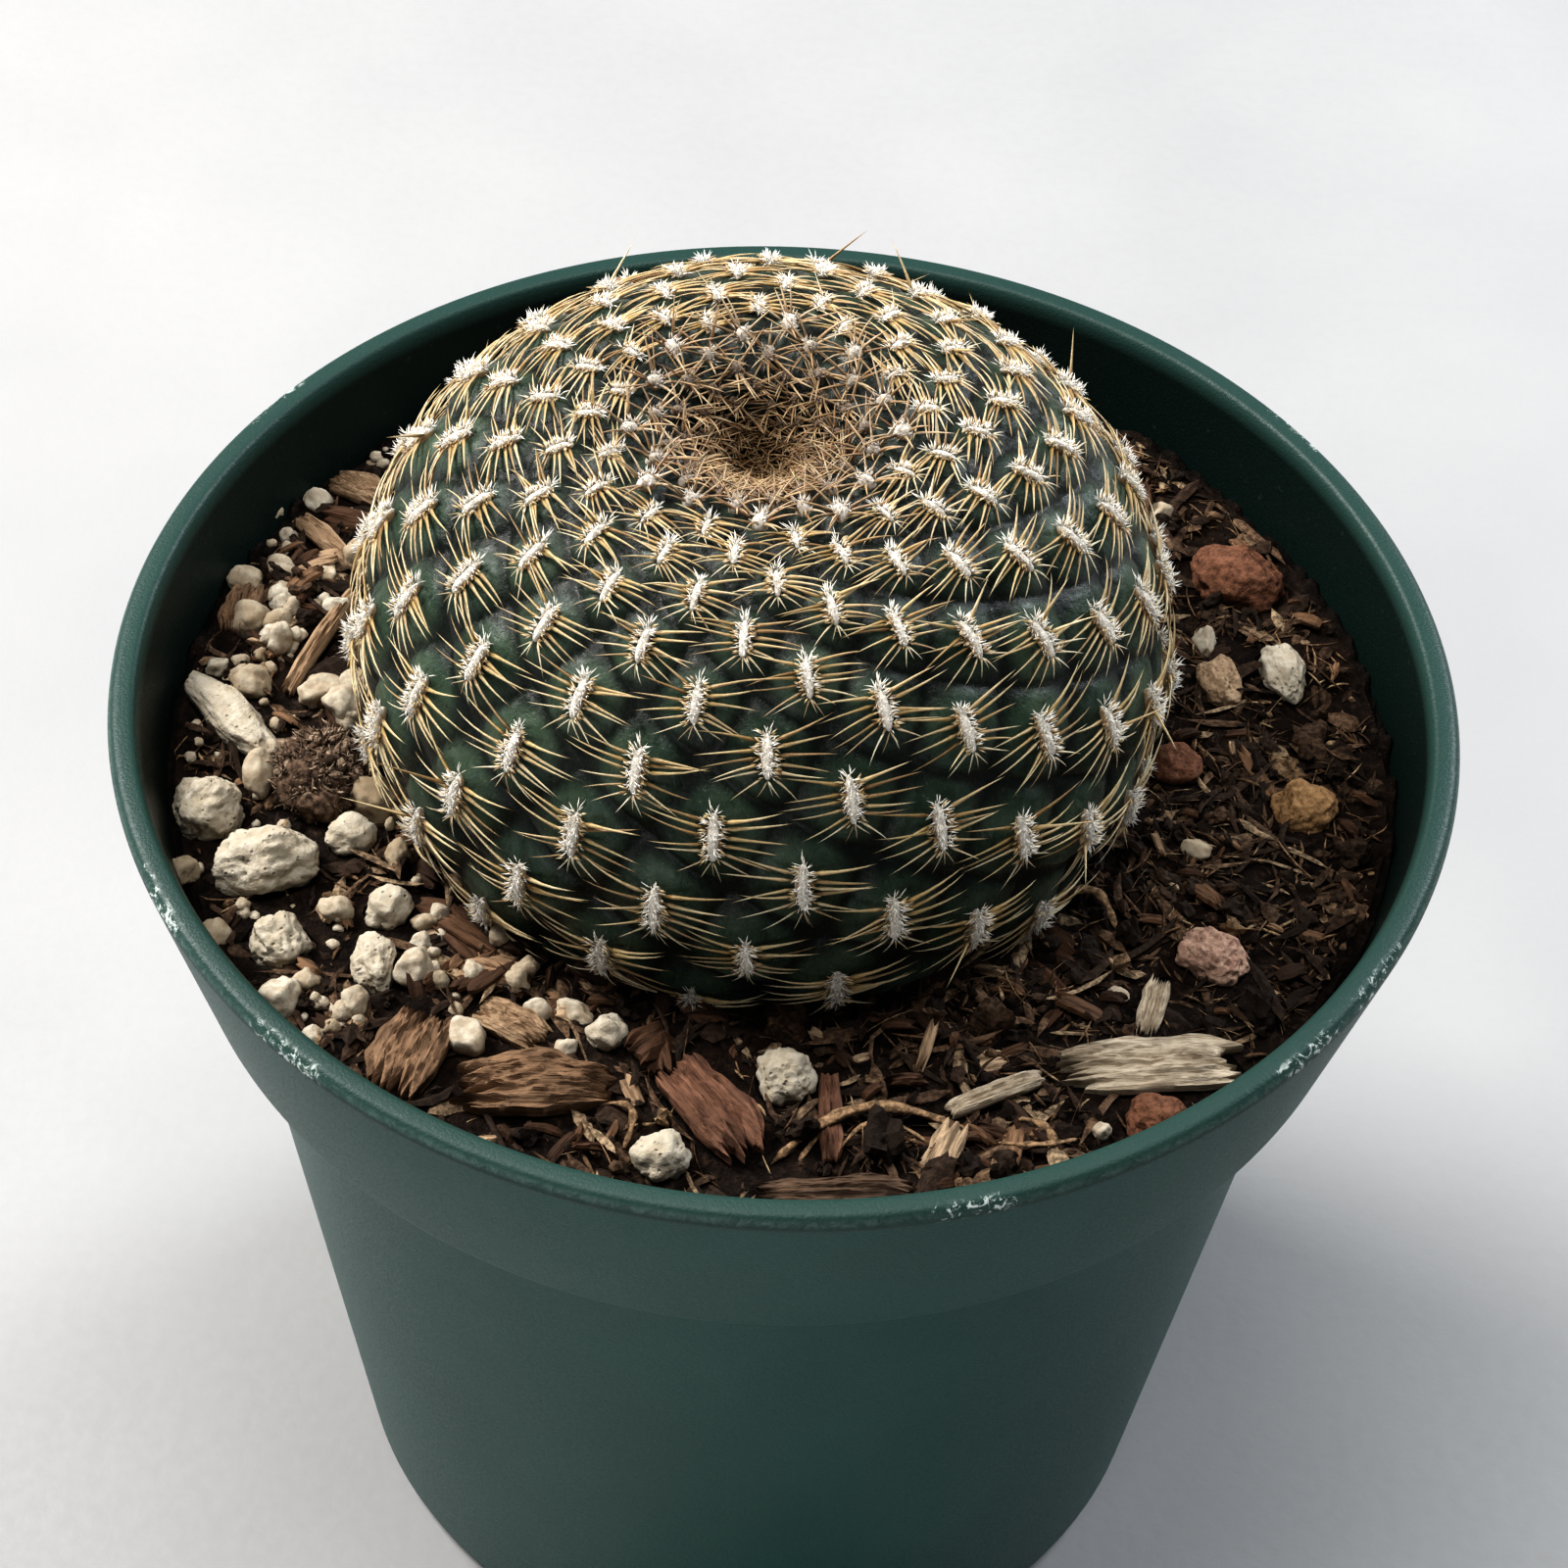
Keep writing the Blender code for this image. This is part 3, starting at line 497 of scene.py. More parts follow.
def wood_finish(name, dark, light):
    """Bark and wood with grain along the piece's own length, its X axis."""
    wood = Finish(name)
    along = wood.stretched((0.022, 1.0, 1.0))
    grain = wood.noise(0.55 * MM, 5.0, 0.66, place=along, distortion=0.05)
    fibres = wood.noise(0.16 * MM, 3.0, 0.6, place=along)
    blotches = wood.noise(2.5 * MM, 3.0)
    body = wood.ramp(grain, (0.28, dark), (0.70, light))
    aged = wood.laid(body, toned(dark, 0.45), blotches, 0.45, 0.68, 0.0, 0.45)
    scratched = wood.laid(aged, toned(light, 1.35), fibres, 0.60, 0.72, 0.0, 0.4)
    roughness = wood.eased(grain, 0.9, 0.62)
    return wood.done(scratched, roughness, wood.plus(grain, fibres, 0.5), 0.35 * MM, Specular_IOR_Level=0.2)


def splinter_finish():
    """Wood of many tones, each flake with the grain along its own length."""
    wood = Finish("splinter")
    inputs = {"X": wood.times(wood.attribute("run"), 0.12), "Y": wood.attribute("across")}
    place = wood.node("ShaderNodeCombineXYZ", inputs).outputs["Vector"]
    grain = wood.noise(0.5, 4.0, 0.65, place=place)
    tone = wood.ramp(
        wood.attribute("tint"),
        (0.0, (0.022, 0.011, 0.006)),
        (0.35, (0.085, 0.042, 0.022)),
        (0.70, (0.21, 0.12, 0.066)),
        (1.0, (0.46, 0.33, 0.21)),
    )
    lined = wood.laid(tone, (0.020, 0.010, 0.006), grain, 0.36, 0.60, 0.75, 0.0)
    roughness = wood.eased(grain, 0.92, 0.65)
    return wood.done(lined, roughness, grain, 0.2 * MM, Specular_IOR_Level=0.15)


def tinted_finish(name, stops, grain_size, shade=(0.010, 0.006, 0.004), depth=0.75):
    """Crumbs, fibres and chips: each piece takes its own tone from the ramp, mottled with a shade."""
    made = Finish(name)
    grain = made.noise(grain_size, 4.0, 0.65)
    tone = made.ramp(made.attribute("tint"), *stops)
    mottled = made.laid(tone, shade, grain, 0.38, 0.66, depth, 0.0)
    roughness = made.eased(grain, 0.95, 0.75)
    return made.done(mottled, roughness, grain, 0.15 * MM, Specular_IOR_Level=0.12)


# Chalky scuffs on the lip's outer corner: the angles where they are strongest, and how far they spread
SCUFF_ANGLES = (-150.0, -131.0, -73.0, -41.0, -31.0, 38.0, 146.0)
SCUFF_SPREAD = 6.0


def near_scuffs(plastic, x, y):
    """1 at the angles of the scuffs, fading to 0 beside them."""
    angle = plastic.math("ARCTAN2", y, x)
    worn = 0.0
    for centre in SCUFF_ANGLES:
        off = plastic.math("COSINE", plastic.math("SUBTRACT", angle, math.radians(centre)))
        near = plastic.spread(off, math.cos(math.radians(SCUFF_SPREAD)), 1.0)
        worn = plastic.math("MAXIMUM", worn, near)
    return worn


def pot_finish():
    """Satin moulded plastic, with painted shade inside and on the lip, rubbed chalky along the lip's outer
    corner.
    """
    plastic = Finish("pot_plastic")
    x, y, z = plastic.axes()
    radius = plastic.math("SQRT", plastic.plus(plastic.times(x, x), plastic.times(y, y)))
    grain = plastic.noise(0.22 * MM, 3.0, 0.6)
    cloudy = plastic.noise(14 * MM, 3.0)
    dust = plastic.noise(0.9 * MM, 4.0, 0.7)
    streaks = plastic.noise(1.1 * MM, 5.0, 0.75, distortion=1.5)

    def lip_corner(inner, outer, low, high):
        """1 at the lip's outer corner; given in millimetres inwards from the rim and down from its top."""
        across = plastic.spread(radius, RIM_RADIUS - inner * MM, RIM_RADIUS - outer * MM)
        return plastic.times(across, plastic.spread(z, POT_HEIGHT - low * MM, POT_HEIGHT - high * MM))

    # The inside wall, which gets painted shade, is what lies deeper than the collar's outside by most of a
    # wall
    foot = POT_HEIGHT - COLLAR_HEIGHT
    flare = (RIM_RADIUS - COLLAR_FOOT_RADIUS) / COLLAR_HEIGHT
    outside = plastic.plus(plastic.times(z, flare), COLLAR_FOOT_RADIUS - foot * flare)
    wall = plastic.spread(plastic.math("SUBTRACT", outside, radius), 0.9 * MM, 1.3 * MM)
    above_foot = plastic.spread(z, foot + 1.0 * MM, foot + 2.0 * MM)
    below_lip = plastic.spread(z, POT_HEIGHT - 1.2 * MM, POT_HEIGHT - 0.3 * MM, 1.0, 0.0)
    inside = plastic.times(plastic.times(wall, above_foot), below_lip)

    base = plastic.ramp(cloudy, (0.3, (0.014, 0.060, 0.051)), (0.7, (0.018, 0.072, 0.061)))
    # Painted shade on the inside wall
    darker = plastic.mix(inside, base, (0.0015, 0.0070, 0.0056))
    # Painted shade on the top of the lip: a darker, greyer green
    lip = plastic.spread(z, POT_HEIGHT - 1.8 * MM, POT_HEIGHT - 0.9 * MM, 0.0, 0.85)
    lip_shaded = plastic.mix(lip, darker, (0.014, 0.036, 0.030))
    dusty = plastic.laid(lip_shaded, (0.16, 0.22, 0.20), dust, 0.62, 0.80, 0.0, 0.12)
    rubbing = plastic.times(lip_corner(0.5, 0.1, 1.2, 0.6), plastic.spread(streaks, 0.35, 0.68, 0.1, 0.55))
    rubbed = plastic.mix(rubbing, dusty, (0.13, 0.20, 0.18))
    threshold = plastic.spread(near_scuffs(plastic, x, y), 0.0, 1.0, 0.72, 0.52)
    scuffs = plastic.spread(plastic.math("SUBTRACT", streaks, threshold), 0.0, 0.07)
    chalk = plastic.times(lip_corner(1.1, 0.3, 1.4, 0.8), scuffs)
    scuffed = plastic.mix(chalk, rubbed, (0.52, 0.58, 0.55))
    satin = plastic.eased(grain, 0.36, 0.50)
    roughness = plastic.math("MAXIMUM", satin, plastic.times(chalk, 0.9))
    relief = plastic.plus(grain, cloudy, 0.5)
    return plastic.done(scuffed, roughness, relief, 0.05 * MM, Specular_IOR_Level=0.22)


def floor_finish():
    """Plain matt pale grey."""
    table = Finish("table")
    clouds = table.noise(60 * MM, 3.0)
    grain = table.noise(1.5 * MM, 3.0)
    tone = table.ramp(clouds, (0.3, (0.300, 0.298, 0.302)), (0.7, (0.335, 0.333, 0.333)))
    return table.done(tone, table.eased(grain, 0.6, 0.75), grain, 0.05 * MM)


# The pot


def rounded(profile, radii):
    """A profile whose corners are rounded off, each by its own radius."""
    corners = [Vector(point) for point in profile]
    found = [corners[0]]
    for before, here, after, radius in zip(corners, corners[1:], corners[2:], radii[1:-1]):
        back = before - here
        ahead = after - here
        cut = min(radius, 0.45 * back.length, 0.45 * ahead.length)
        start = here + back.normalized() * cut
        end = here + ahead.normalized() * cut
        for index in range(CORNER_STEPS + 1):
            t = index / CORNER_STEPS
            found.append(start * (1 - t) ** 2 + here * 2 * t * (1 - t) + end * t * t)
    found.append(corners[-1])
    return found


def pot_profile():
    """From the centre of the underside, up the outside and down the inside to the floor's centre."""
    foot = POT_HEIGHT - COLLAR_HEIGHT
    floor_radius = BASE_RADIUS + FLOOR / foot * (BODY_TOP_RADIUS - BASE_RADIUS) - WALL
    rows = (  # radius, height, and the corner's rounding in millimetres
        (0.0, 0.0, 0.0),
        (BASE_RADIUS - 4.0 * MM, 0.0, 1.0),
        (BASE_RADIUS - 3.6 * MM, 0.4 * MM, 0.2),
        (BASE_RADIUS - 3.2 * MM, 0.0, 0.2),
        (BASE_RADIUS, 0.0, 1.4),
        (BODY_TOP_RADIUS, foot - 0.8 * MM, 0.5),
        (COLLAR_FOOT_RADIUS - 0.1 * MM, foot - 0.1 * MM, 0.7),
        (RIM_RADIUS, POT_HEIGHT - 0.9 * MM, 0.5),
        (RIM_RADIUS - 0.5 * MM, POT_HEIGHT - 0.1 * MM, 0.5),
        (RIM_RADIUS - LIP_WIDTH + 0.4 * MM, POT_HEIGHT, 0.4),
        (RIM_RADIUS - LIP_WIDTH, POT_HEIGHT - 0.6 * MM, 0.4),
        (COLLAR_FOOT_RADIUS - WALL, foot + 1.0 * MM, 1.0),
        (BODY_TOP_RADIUS - WALL, foot - 2.0 * MM, 1.0),
        (floor_radius, FLOOR, 1.5),
        (0.0, FLOOR, 0.0),
    )
    return rounded([row[:2] for row in rows], [row[2] * MM for row in rows])


def build_pot(finish):
    """The moulded pot, turned from its profile, with its drain holes cut through the floor."""
    profile = np.array([tuple(point) for point in pot_profile()[1:-1]])
    around = math.tau * np.arange(POT_SEGMENTS) / POT_SEGMENTS
    radius, height = profile[:, :1], np.repeat(profile[:, 1:], POT_SEGMENTS, axis=1)
    walls = np.stack([radius * np.cos(around), radius * np.sin(around), height], axis=-1).reshape(-1, 3)
    points = np.concatenate([walls, [[0.0, 0.0, 0.0], [0.0, 0.0, FLOOR]]])
    sides = grid_triangles(len(profile), POT_SEGMENTS, closed=True)
    underside = fan(len(walls), 0, POT_SEGMENTS)[:, ::-1]
    inner_floor = fan(len(walls) + 1, len(walls) - POT_SEGMENTS, POT_SEGMENTS)
    pot = solid("pot_body", finish, points, np.concatenate([sides, underside, inner_floor]))
    cutter = drain_cutter()
    modifier = pot.modifiers.new("drain holes", "BOOLEAN")
    modifier.operation = "DIFFERENCE"
    modifier.object = cutter
    cut = pot.evaluated_get(bpy.context.evaluated_depsgraph_get())
    mesh = bpy.data.meshes.new_from_object(cut)
    pot.modifiers.clear()
    pot.data = mesh
    bpy.data.objects.remove(cutter)
    pot.data.set_sharp_from_angle(angle=math.radians(40.0))
    return pot


def drain_cutter():
    """The drain holes as one object of cylinders, which the pot is cut with."""
    builder = bmesh.new()
    for index in range(DRAIN_HOLES):
        angle = math.tau * (index + 0.5) / DRAIN_HOLES
        place = Vector((DRAIN_CIRCLE * math.cos(angle), DRAIN_CIRCLE * math.sin(angle), FLOOR / 2))
        bmesh.ops.create_cone(
            builder,
            cap_ends=True,
            segments=40,
            radius1=DRAIN_RADIUS,
            radius2=DRAIN_RADIUS,
            depth=3 * FLOOR,
            matrix=Matrix.Translation(place),
        )
    mesh = bpy.data.meshes.new("drain_cutter")
    builder.to_mesh(mesh)
    builder.free()
    cutter = bpy.data.objects.new("drain_cutter", mesh)
    bpy.context.scene.collection.objects.link(cutter)
    return cutter


# The plant's skin


def globe_profile(polar):
    """Radius and height of the skin at polar angles from the crown: a squat globe with a bowl in its top."""
    radius = GLOBE_RADIUS * np.maximum(np.sin(polar), 0.0) ** SHOULDER
    bowl = CROWN_DEPTH / (1.0 + (radius / CROWN_RADIUS) ** 2) ** 1.5
    return radius, GLOBE_HALF_HEIGHT * np.cos(polar) - np.where(polar < math.pi / 2, bowl, 0.0)


def settled(points):
    """The far shoulder hangs a little lower than the near one."""
    far = smooth_step(points[..., 1], 4 * MM, 24 * MM)
    high = smooth_step(points[..., 2], -6 * MM, 16 * MM)
    return points - (FAR_DROP * far * high)[..., None] * np.array([0.0, 0.0, 1.0])


def globe_points(polar, around, lift=0.0):
    """Points of the skin, lifted along its outward normal."""
    radius, height = globe_profile(polar)
    ahead = globe_profile(polar + 1e-4)
    behind = globe_profile(np.maximum(polar - 1e-4, 1e-5))
    slope = unit(np.stack([ahead[0] - behind[0], ahead[1] - behind[1]], axis=-1))
    radius = radius - lift * slope[..., 1]
    height = height + lift * slope[..., 0]
    return settled(np.stack([radius * np.cos(around), radius * np.sin(around), height], axis=-1))


def leaf_polar(numbers):
    """The polar angle at which a leaf grows."""
    t = np.asarray(numbers) / 100.0
    return np.exp(GROWTH[0] * t * t + GROWTH[1] * t + GROWTH[2])


def leaf_number(polar):
    """The leaf number, with its fraction, that grows at a polar angle."""
    a, b, c = GROWTH
    inside = np.maximum(b * b - 4.0 * a * (c - np.log(polar)), 0.0)
    return 100.0 * (-b + np.sqrt(inside)) / (2.0 * a)


def spacing_at(numbers):
    """The side of the square that one areole has to itself."""
    below = globe_points(leaf_polar(numbers + 0.5), 0.0)
    above = globe_points(leaf_polar(numbers - 0.5), 0.0)
    radius = globe_profile(leaf_polar(numbers))[0]
    return np.sqrt(math.tau * radius * np.linalg.norm(below - above, axis=-1))


def growth_scale(numbers):
    """The size of an areole and its spines, as a share of full size."""
    return np.minimum(spacing_at(numbers) / FULL_SPACING, 1.0)


def above_ground(numbers):
    """1 where the plant stands free, falling to 0 where it meets the mix."""
    return np.clip((GROUND_LEAF - numbers) / 10.0, 0.0, 1.0)


def spiral_offsets(numbers, around):
    """How far a point lies from the nearest leaf along the 13 and the 21 spirals, from -0.5 to 0.5 each."""
    turned = around - FIRST_ANGLE
    whole = RIGHT_STEP * LEFT_TURN - LEFT_STEP * RIGHT_TURN
    right = (numbers * LEFT_TURN - LEFT_STEP * turned) / whole
    left = (RIGHT_STEP * turned - RIGHT_TURN * numbers) / whole
    return right - np.round(right), left - np.round(left)


BODY_ROWS = 124
BODY_COLUMNS = 320
CROWN_HOLE = 0.012
CREASE_DEPTH = 0.12 * MM
# The leaf numbers over which the skin's painted shade lifts, out of the bowl and down from the crown
BOWL_SHADE = (-125.0, -75.0)
CROWN_SHADE = (-50.0, 45.0)


def build_body(finish):
    """The skin, with a low tubercle under every areole and fine creases, and the buried neck and root."""
    last = leaf_polar(LAST_LEAF)
    polar = CROWN_HOLE + (last - CROWN_HOLE) * np.linspace(0.0, 1.0, BODY_ROWS) ** 0.9
    around = math.tau * np.arange(BODY_COLUMNS) / BODY_COLUMNS
    polar, around = np.meshgrid(polar, around, indexing="ij")
    numbers = leaf_number(polar)
    right, left = spiral_offsets(numbers, around)
    hills = 0.5 * (np.cos(math.tau * right) + np.cos(math.tau * left))
    furrow = smooth_step(np.maximum(np.abs(right), np.abs(left)), 0.38, 0.49)
    rise = RELIEF * growth_scale(numbers) * 0.9 * (hills - furrow)
    smooth = globe_points(polar, around)
    creases = noise_at(smooth.reshape(-1, 3) * [1.0, 1.0, 0.4], 1.6 * MM, 3, 2).reshape(polar.shape)
    skin = globe_points(polar, around, (rise + CREASE_DEPTH * creases) * above_ground(numbers)).reshape(-1, 3)
    neck = NECK_RADIUS * np.stack([np.cos(around[0]), np.sin(around[0]), np.zeros(BODY_COLUMNS)], -1)
    neck[:, 2] = -NECK_DEPTH
    ends = [[0, 0, skin[:BODY_COLUMNS, 2].mean()], [0, 0, -ROOT_DEPTH]]
    points = np.concatenate([skin, neck, ends])
    foot = BODY_ROWS * BODY_COLUMNS
    crown = fan(foot + BODY_COLUMNS, 0, BODY_COLUMNS)
    root = fan(foot + BODY_COLUMNS + 1, foot, BODY_COLUMNS)[:, ::-1]
    sides = grid_triangles(BODY_ROWS + 1, BODY_COLUMNS, closed=True)[:, ::-1]
    # Painted shade that the skin's finish reads as rise: low, and so dark, in the furrows, in the bowl and
    # near the crown
    shade = 0.45 * (hills + 1.0) * (1.0 - 0.8 * furrow) * smooth_step(numbers, *BOWL_SHADE)
    shade = shade * (0.48 + 0.52 * smooth_step(numbers, *CROWN_SHADE))
    shade = np.concatenate([shade.ravel(), np.zeros(BODY_COLUMNS + 2)])
    return solid("plant_body", finish, points, np.concatenate([sides, crown, root]), rise=shade)


# Areoles, spines and felt


class Areoles:
    """Frames on the skin for many leaves at once: up points to the crown, side to the right, out away."""

    def __init__(self, numbers):
        self.numbers = numbers
        self.polar = leaf_polar(numbers)
        self.around = FIRST_ANGLE - numbers * GOLDEN
        self.scale = growth_scale(numbers)
        self.centre = globe_points(self.polar, self.around, RELIEF * self.scale * above_ground(numbers))
        step = np.minimum(0.01, 0.3 * self.polar)
        above, below = (globe_points(self.polar + away, self.around) for away in (-step, step))
        self.up = unit(above - below)
        self.side = np.stack([-np.sin(self.around), np.cos(self.around), np.zeros(len(numbers))], axis=-1)
        self.out = unit(np.cross(self.side, self.up))
        # Spines shrink less towards the crown than their areoles do
        self.span = 0.32 + 0.68 * self.scale

    def each(self, per_spot):
        """Each rod's areole, where per_spot rods grow on one, and the number of rods in all."""
        which = np.repeat(np.arange(len(self.numbers)), per_spot)
        return which, len(which)

    def at(self, which, side, up, out):
        """Points by their offsets from the centres of the areoles that which names."""
        place = self.centre[which] + self.side[which] * side[:, None]
        return place + self.up[which] * up[:, None] + self.out[which] * out[:, None]

    def grow(self, which, roots, headings, rises, lengths, steps):
        """Lines out of the areoles; headings and rises are pairs, at the root and at the tip."""
        ways, bends = (self.way(which, *angles) for angles in zip(headings, rises))
        return bent_lines(roots, ways, bends, lengths, steps)

    def way(self, which, heading, rise):
        """Unit vectors: heading round from the right-hand side towards the crown, rise away from the skin."""
        flat = np.cos(rise)[:, None]
        sideways = self.side[which] * np.cos(heading)[:, None] + self.up[which] * np.sin(heading)[:, None]
        return sideways * flat + self.out[which] * np.sin(rise)[:, None]


# One side's spines from the areole's lower end upwards: place along it as a share of its length, heading in
# degrees, then length, girth and paleness as shares
SIDE_SPINES = (
    (-0.42, -30.0, 0.62, 0.66, 0.60),
    (-0.28, -14.0, 0.84, 0.82, 0.30),
    (-0.14, -4.0, 0.98, 0.92, 0.15),
    (0.01, 3.0, 1.04, 1.00, 0.08),
    (0.16, 10.0, 1.06, 1.06, 0.04),
    (0.30, 18.0, 1.00, 1.10, 0.03),
)
# Short spines at the lower end, in the same columns
END_SPINES = (
    (-0.48, -60.0, 0.38, 0.50, 0.85),
    (-0.48, -84.0, 0.28, 0.46, 0.90),
    (-0.48, -124.0, 0.38, 0.50, 0.80),
)


def grown_rows():
    """The spine rows of a grown areole, and the side each is on: 1 right, -1 left, 0 at the lower end."""
    left = [(place, 180.0 - heading, *rest) for place, heading, *rest in SIDE_SPINES]
    hands = [1.0] * len(SIDE_SPINES) + [-1.0] * len(SIDE_SPINES) + [0.0] * len(END_SPINES)
    return np.array([*SIDE_SPINES, *left, *END_SPINES]), np.array(hands)


def build_grown_spines(finish):
    """Comb-like spines: they leave the felt at a slant and bend back over the skin, across each other."""
    chance = np.random.default_rng(11)
    spots = Areoles(np.arange(YOUNG, LAST_STAR + 1))
    rows, hands = grown_rows()
    which, count = spots.each(len(rows))
    place, heading, reach, girth, pale = np.tile(rows, (len(spots.numbers), 1)).T
    hand = np.tile(hands, len(spots.numbers))
    span = spots.span[which]
    heading = np.radians(heading + chance.normal(0.0, 6.5, count))
    stray = np.where(chance.random(count) < STRAY_SHARE, STRAY_RISE, 0.0)
    early = np.radians(chance.uniform(3.0, 17.0, count) + stray)
    late = np.where(stray > 0.0, 0.9 * early, np.radians(chance.uniform(-26.0, -9.0, count)))
    curve = np.radians(chance.normal(0.0, 9.0, count)) - hand * math.radians(6.0)
    length = SPINE_LENGTH * span * reach * chance.uniform(0.88, 1.10, count)
    felt = spots.scale[which]
    side = hand * AREOLE_WIDTH * 0.30 * felt
    roots = spots.at(which, side, place * AREOLE_LENGTH * felt, np.full(count, SPINE_ROOT))
    lines = spots.grow(which, roots, (heading, heading + curve), (early, late), length, len(GROWN_TAPER))
    girths = SPINE_GIRTH * (0.62 + 0.38 * span)[:, None] * girth[:, None] * GROWN_TAPER
    old = np.clip((spots.numbers[which] - 70) / 40.0, 0.0, 1.0)
    paleness = np.clip(pale + 0.25 * old + chance.normal(0.0, 0.12, count), 0.0, 1.0)
    return rods("side_spines", finish, lines, girths, tint=chance.random(count), pale=paleness)


def build_crown_spines(finish):
    """Young spines in and round the crown: they radiate, stand up from the skin and fill the bowl."""
    chance = np.random.default_rng(12)
    spots = Areoles(np.arange(TUFT_FIRST, YOUNG))
    per_spot = np.where(spots.numbers >= NEWEST, YOUNG_SPINES, TUFT_SPINES)
    which, count = spots.each(per_spot)
    rank = np.arange(count) - np.repeat(np.cumsum(per_spot) - per_spot, per_spot)
    age = smooth_step(spots.numbers[which].astype(float), NEWEST, YOUNG)
    spread = math.tau * (rank / per_spot[which] - 0.5) * (0.50 + 0.50 * age)
    heading = math.pi / 2 + spread + chance.normal(0.0, 0.28, count)
    early = np.radians(chance.uniform(26.0, 58.0, count) + 14.0 * (1.0 - age))
    late = np.radians(chance.uniform(0.0, 36.0, count) * (1.0 - 0.6 * age))
    length = (1.9 + 2.1 * age) * MM * chance.uniform(0.65, 1.15, count)
    half = 0.10 * spacing_at(spots.numbers)[which]
    roots = spots.at(which, np.cos(heading) * half, np.sin(heading) * half, np.full(count, 0.1 * MM))
    curve = chance.normal(0.0, 0.15, count)
    lines = spots.grow(which, roots, (heading, heading + curve), (early, late), length, len(YOUNG_TAPER))
    girths = SPINE_GIRTH * (0.62 + 0.24 * age)[:, None] * YOUNG_TAPER * chance.uniform(0.8, 1.2, (count, 1))
    paleness = np.clip(chance.normal(0.10, 0.10, count), 0.0, 1.0)
    # Painted shade in the bowl: the youngest spines, deepest in it, get darker tints
    tint = chance.random(count) * (0.25 + 0.75 * smooth_step(age, 0.0, 0.6))
    return rods("crown_spines", finish, lines, girths, tint=tint, pale=paleness * age)


def cushion_size(spots):
    """Half length, half width and height of each felt cushion."""
    young = spots.numbers < YOUNG
    length = np.where(young, 0.25 * spacing_at(spots.numbers), AREOLE_LENGTH * spots.scale / 2)
    width = np.where(young, 0.20 * spacing_at(spots.numbers), AREOLE_WIDTH * (0.2 + 0.8 * spots.scale) / 2)
    height = np.where(young, 0.30 * spacing_at(spots.numbers), AREOLE_HEIGHT * (0.3 + 0.7 * spots.scale))
    height = height * (0.45 + 0.55 * above_ground(spots.numbers - 4.0))
    return length, width, height


def thinned(level):
    """How far a cushion is thinned at a level along it, -1 to 1: its upper end is low under the tuft."""
    return 1.0 - 0.42 * smooth_step(level, 0.45, 1.0)


def felt_age(numbers):
    """0 on fresh wool, towards 1 near the ground where it is grey and worn."""
    return np.clip((numbers - 62.0) / 55.0, 0.0, 1.0)


def felt_youth(numbers):
    """1 in the bowl, where the wool is still brown with young bristles, to 0 on the shoulder."""
    return 1.0 - smooth_step(numbers.astype(float), -106.0, -46.0)


def build_felt(finish):
    """A ragged woolly cushion on each areole."""
    spots = Areoles(np.arange(NEWEST, LAST_STAR + 1))
    length, width, height = cushion_size(spots)
    bag = Bag()
    youth = felt_youth(spots.numbers)
    for index, number in enumerate(spots.numbers):
        shape, triangles = BALLS[3 if number >= LARGE_FELT else 2]
        side = shape[:, 0] * width[index] * thinned(shape[:, 1])
        up = np.sign(shape[:, 1]) * np.abs(shape[:, 1]) ** 0.75 * length[index]
        out = shape[:, 2] * height[index] * thinned(shape[:, 1])
        which = np.full(len(shape), index)
        points = spots.at(which, side, up, out)
        wobble = noise_at(points, 0.55 * MM, 5, 3)
        normal = shape @ np.array([spots.side[index], spots.up[index], spots.out[index]])
        points = points + normal * (wobble * 0.30 * width[index])[:, None]
        edge = np.clip(shape[:, 2] + 0.8 * np.abs(shape[:, 1]) ** 3 + 0.25 * wobble, 0.0, 1.0)
        bag.add(points, triangles, edge=edge, aged=felt_age(number), young=youth[index])
    return bag.to_object("felt_cushions", finish)


def build_hairs(finish):
    """Short wool on the cushions, longest in the tuft at their upper ends."""
    chance = np.random.default_rng(13)
    spots = Areoles(np.arange(NEWEST, LAST_STAR + 1))
    length, width, height = cushion_size(spots)
    per_spot = (HAIRS * (0.12 + 0.88 * spots.scale)).astype(int)
    which, count = spots.each(per_spot)
    level = chance.uniform(-1.0, 1.0, count) ** 3 * 0.25 + chance.uniform(-0.95, 0.95, count) * 0.75
    level = np.where(chance.random(count) < 0.26, chance.uniform(0.60, 1.0, count), level)
    lean = chance.normal(0.0, 0.75, count)
    round_off = np.sqrt(np.maximum(1.0 - level**2, 0.02))
    side = np.sin(lean) * round_off * width[which] * thinned(level)
    out = np.cos(lean) * round_off * height[which] * thinned(level) * 0.92
    roots = spots.at(which, side, level * length[which], out)
    heading = np.where(lean > 0, 0.0, math.pi) + chance.normal(0.0, 0.9, count)
    tuft = smooth_step(level, 0.45, 0.90)
    heading = heading * (1.0 - tuft) + (math.pi / 2 + chance.normal(0.0, 0.8, count)) * tuft
    early = np.radians(chance.uniform(22.0, 85.0, count) - 16.0 * tuft)
    late = early - np.radians(chance.uniform(0.0, 40.0, count))
    grown = 0.6 + 0.4 * spots.scale[which]
    reach = HAIR_LENGTH * grown * chance.uniform(0.5, 1.5, count) * (1.0 + 0.5 * tuft)
    lines = spots.grow(which, roots, (heading, heading), (early, late), reach, len(HAIR_TAPER))
    girths = HAIR_GIRTH * HAIR_TAPER * np.ones((count, 1))
    numbers = spots.numbers[which]
    return rods("felt_hairs", finish, lines, girths, aged=felt_age(numbers), young=felt_youth(numbers))


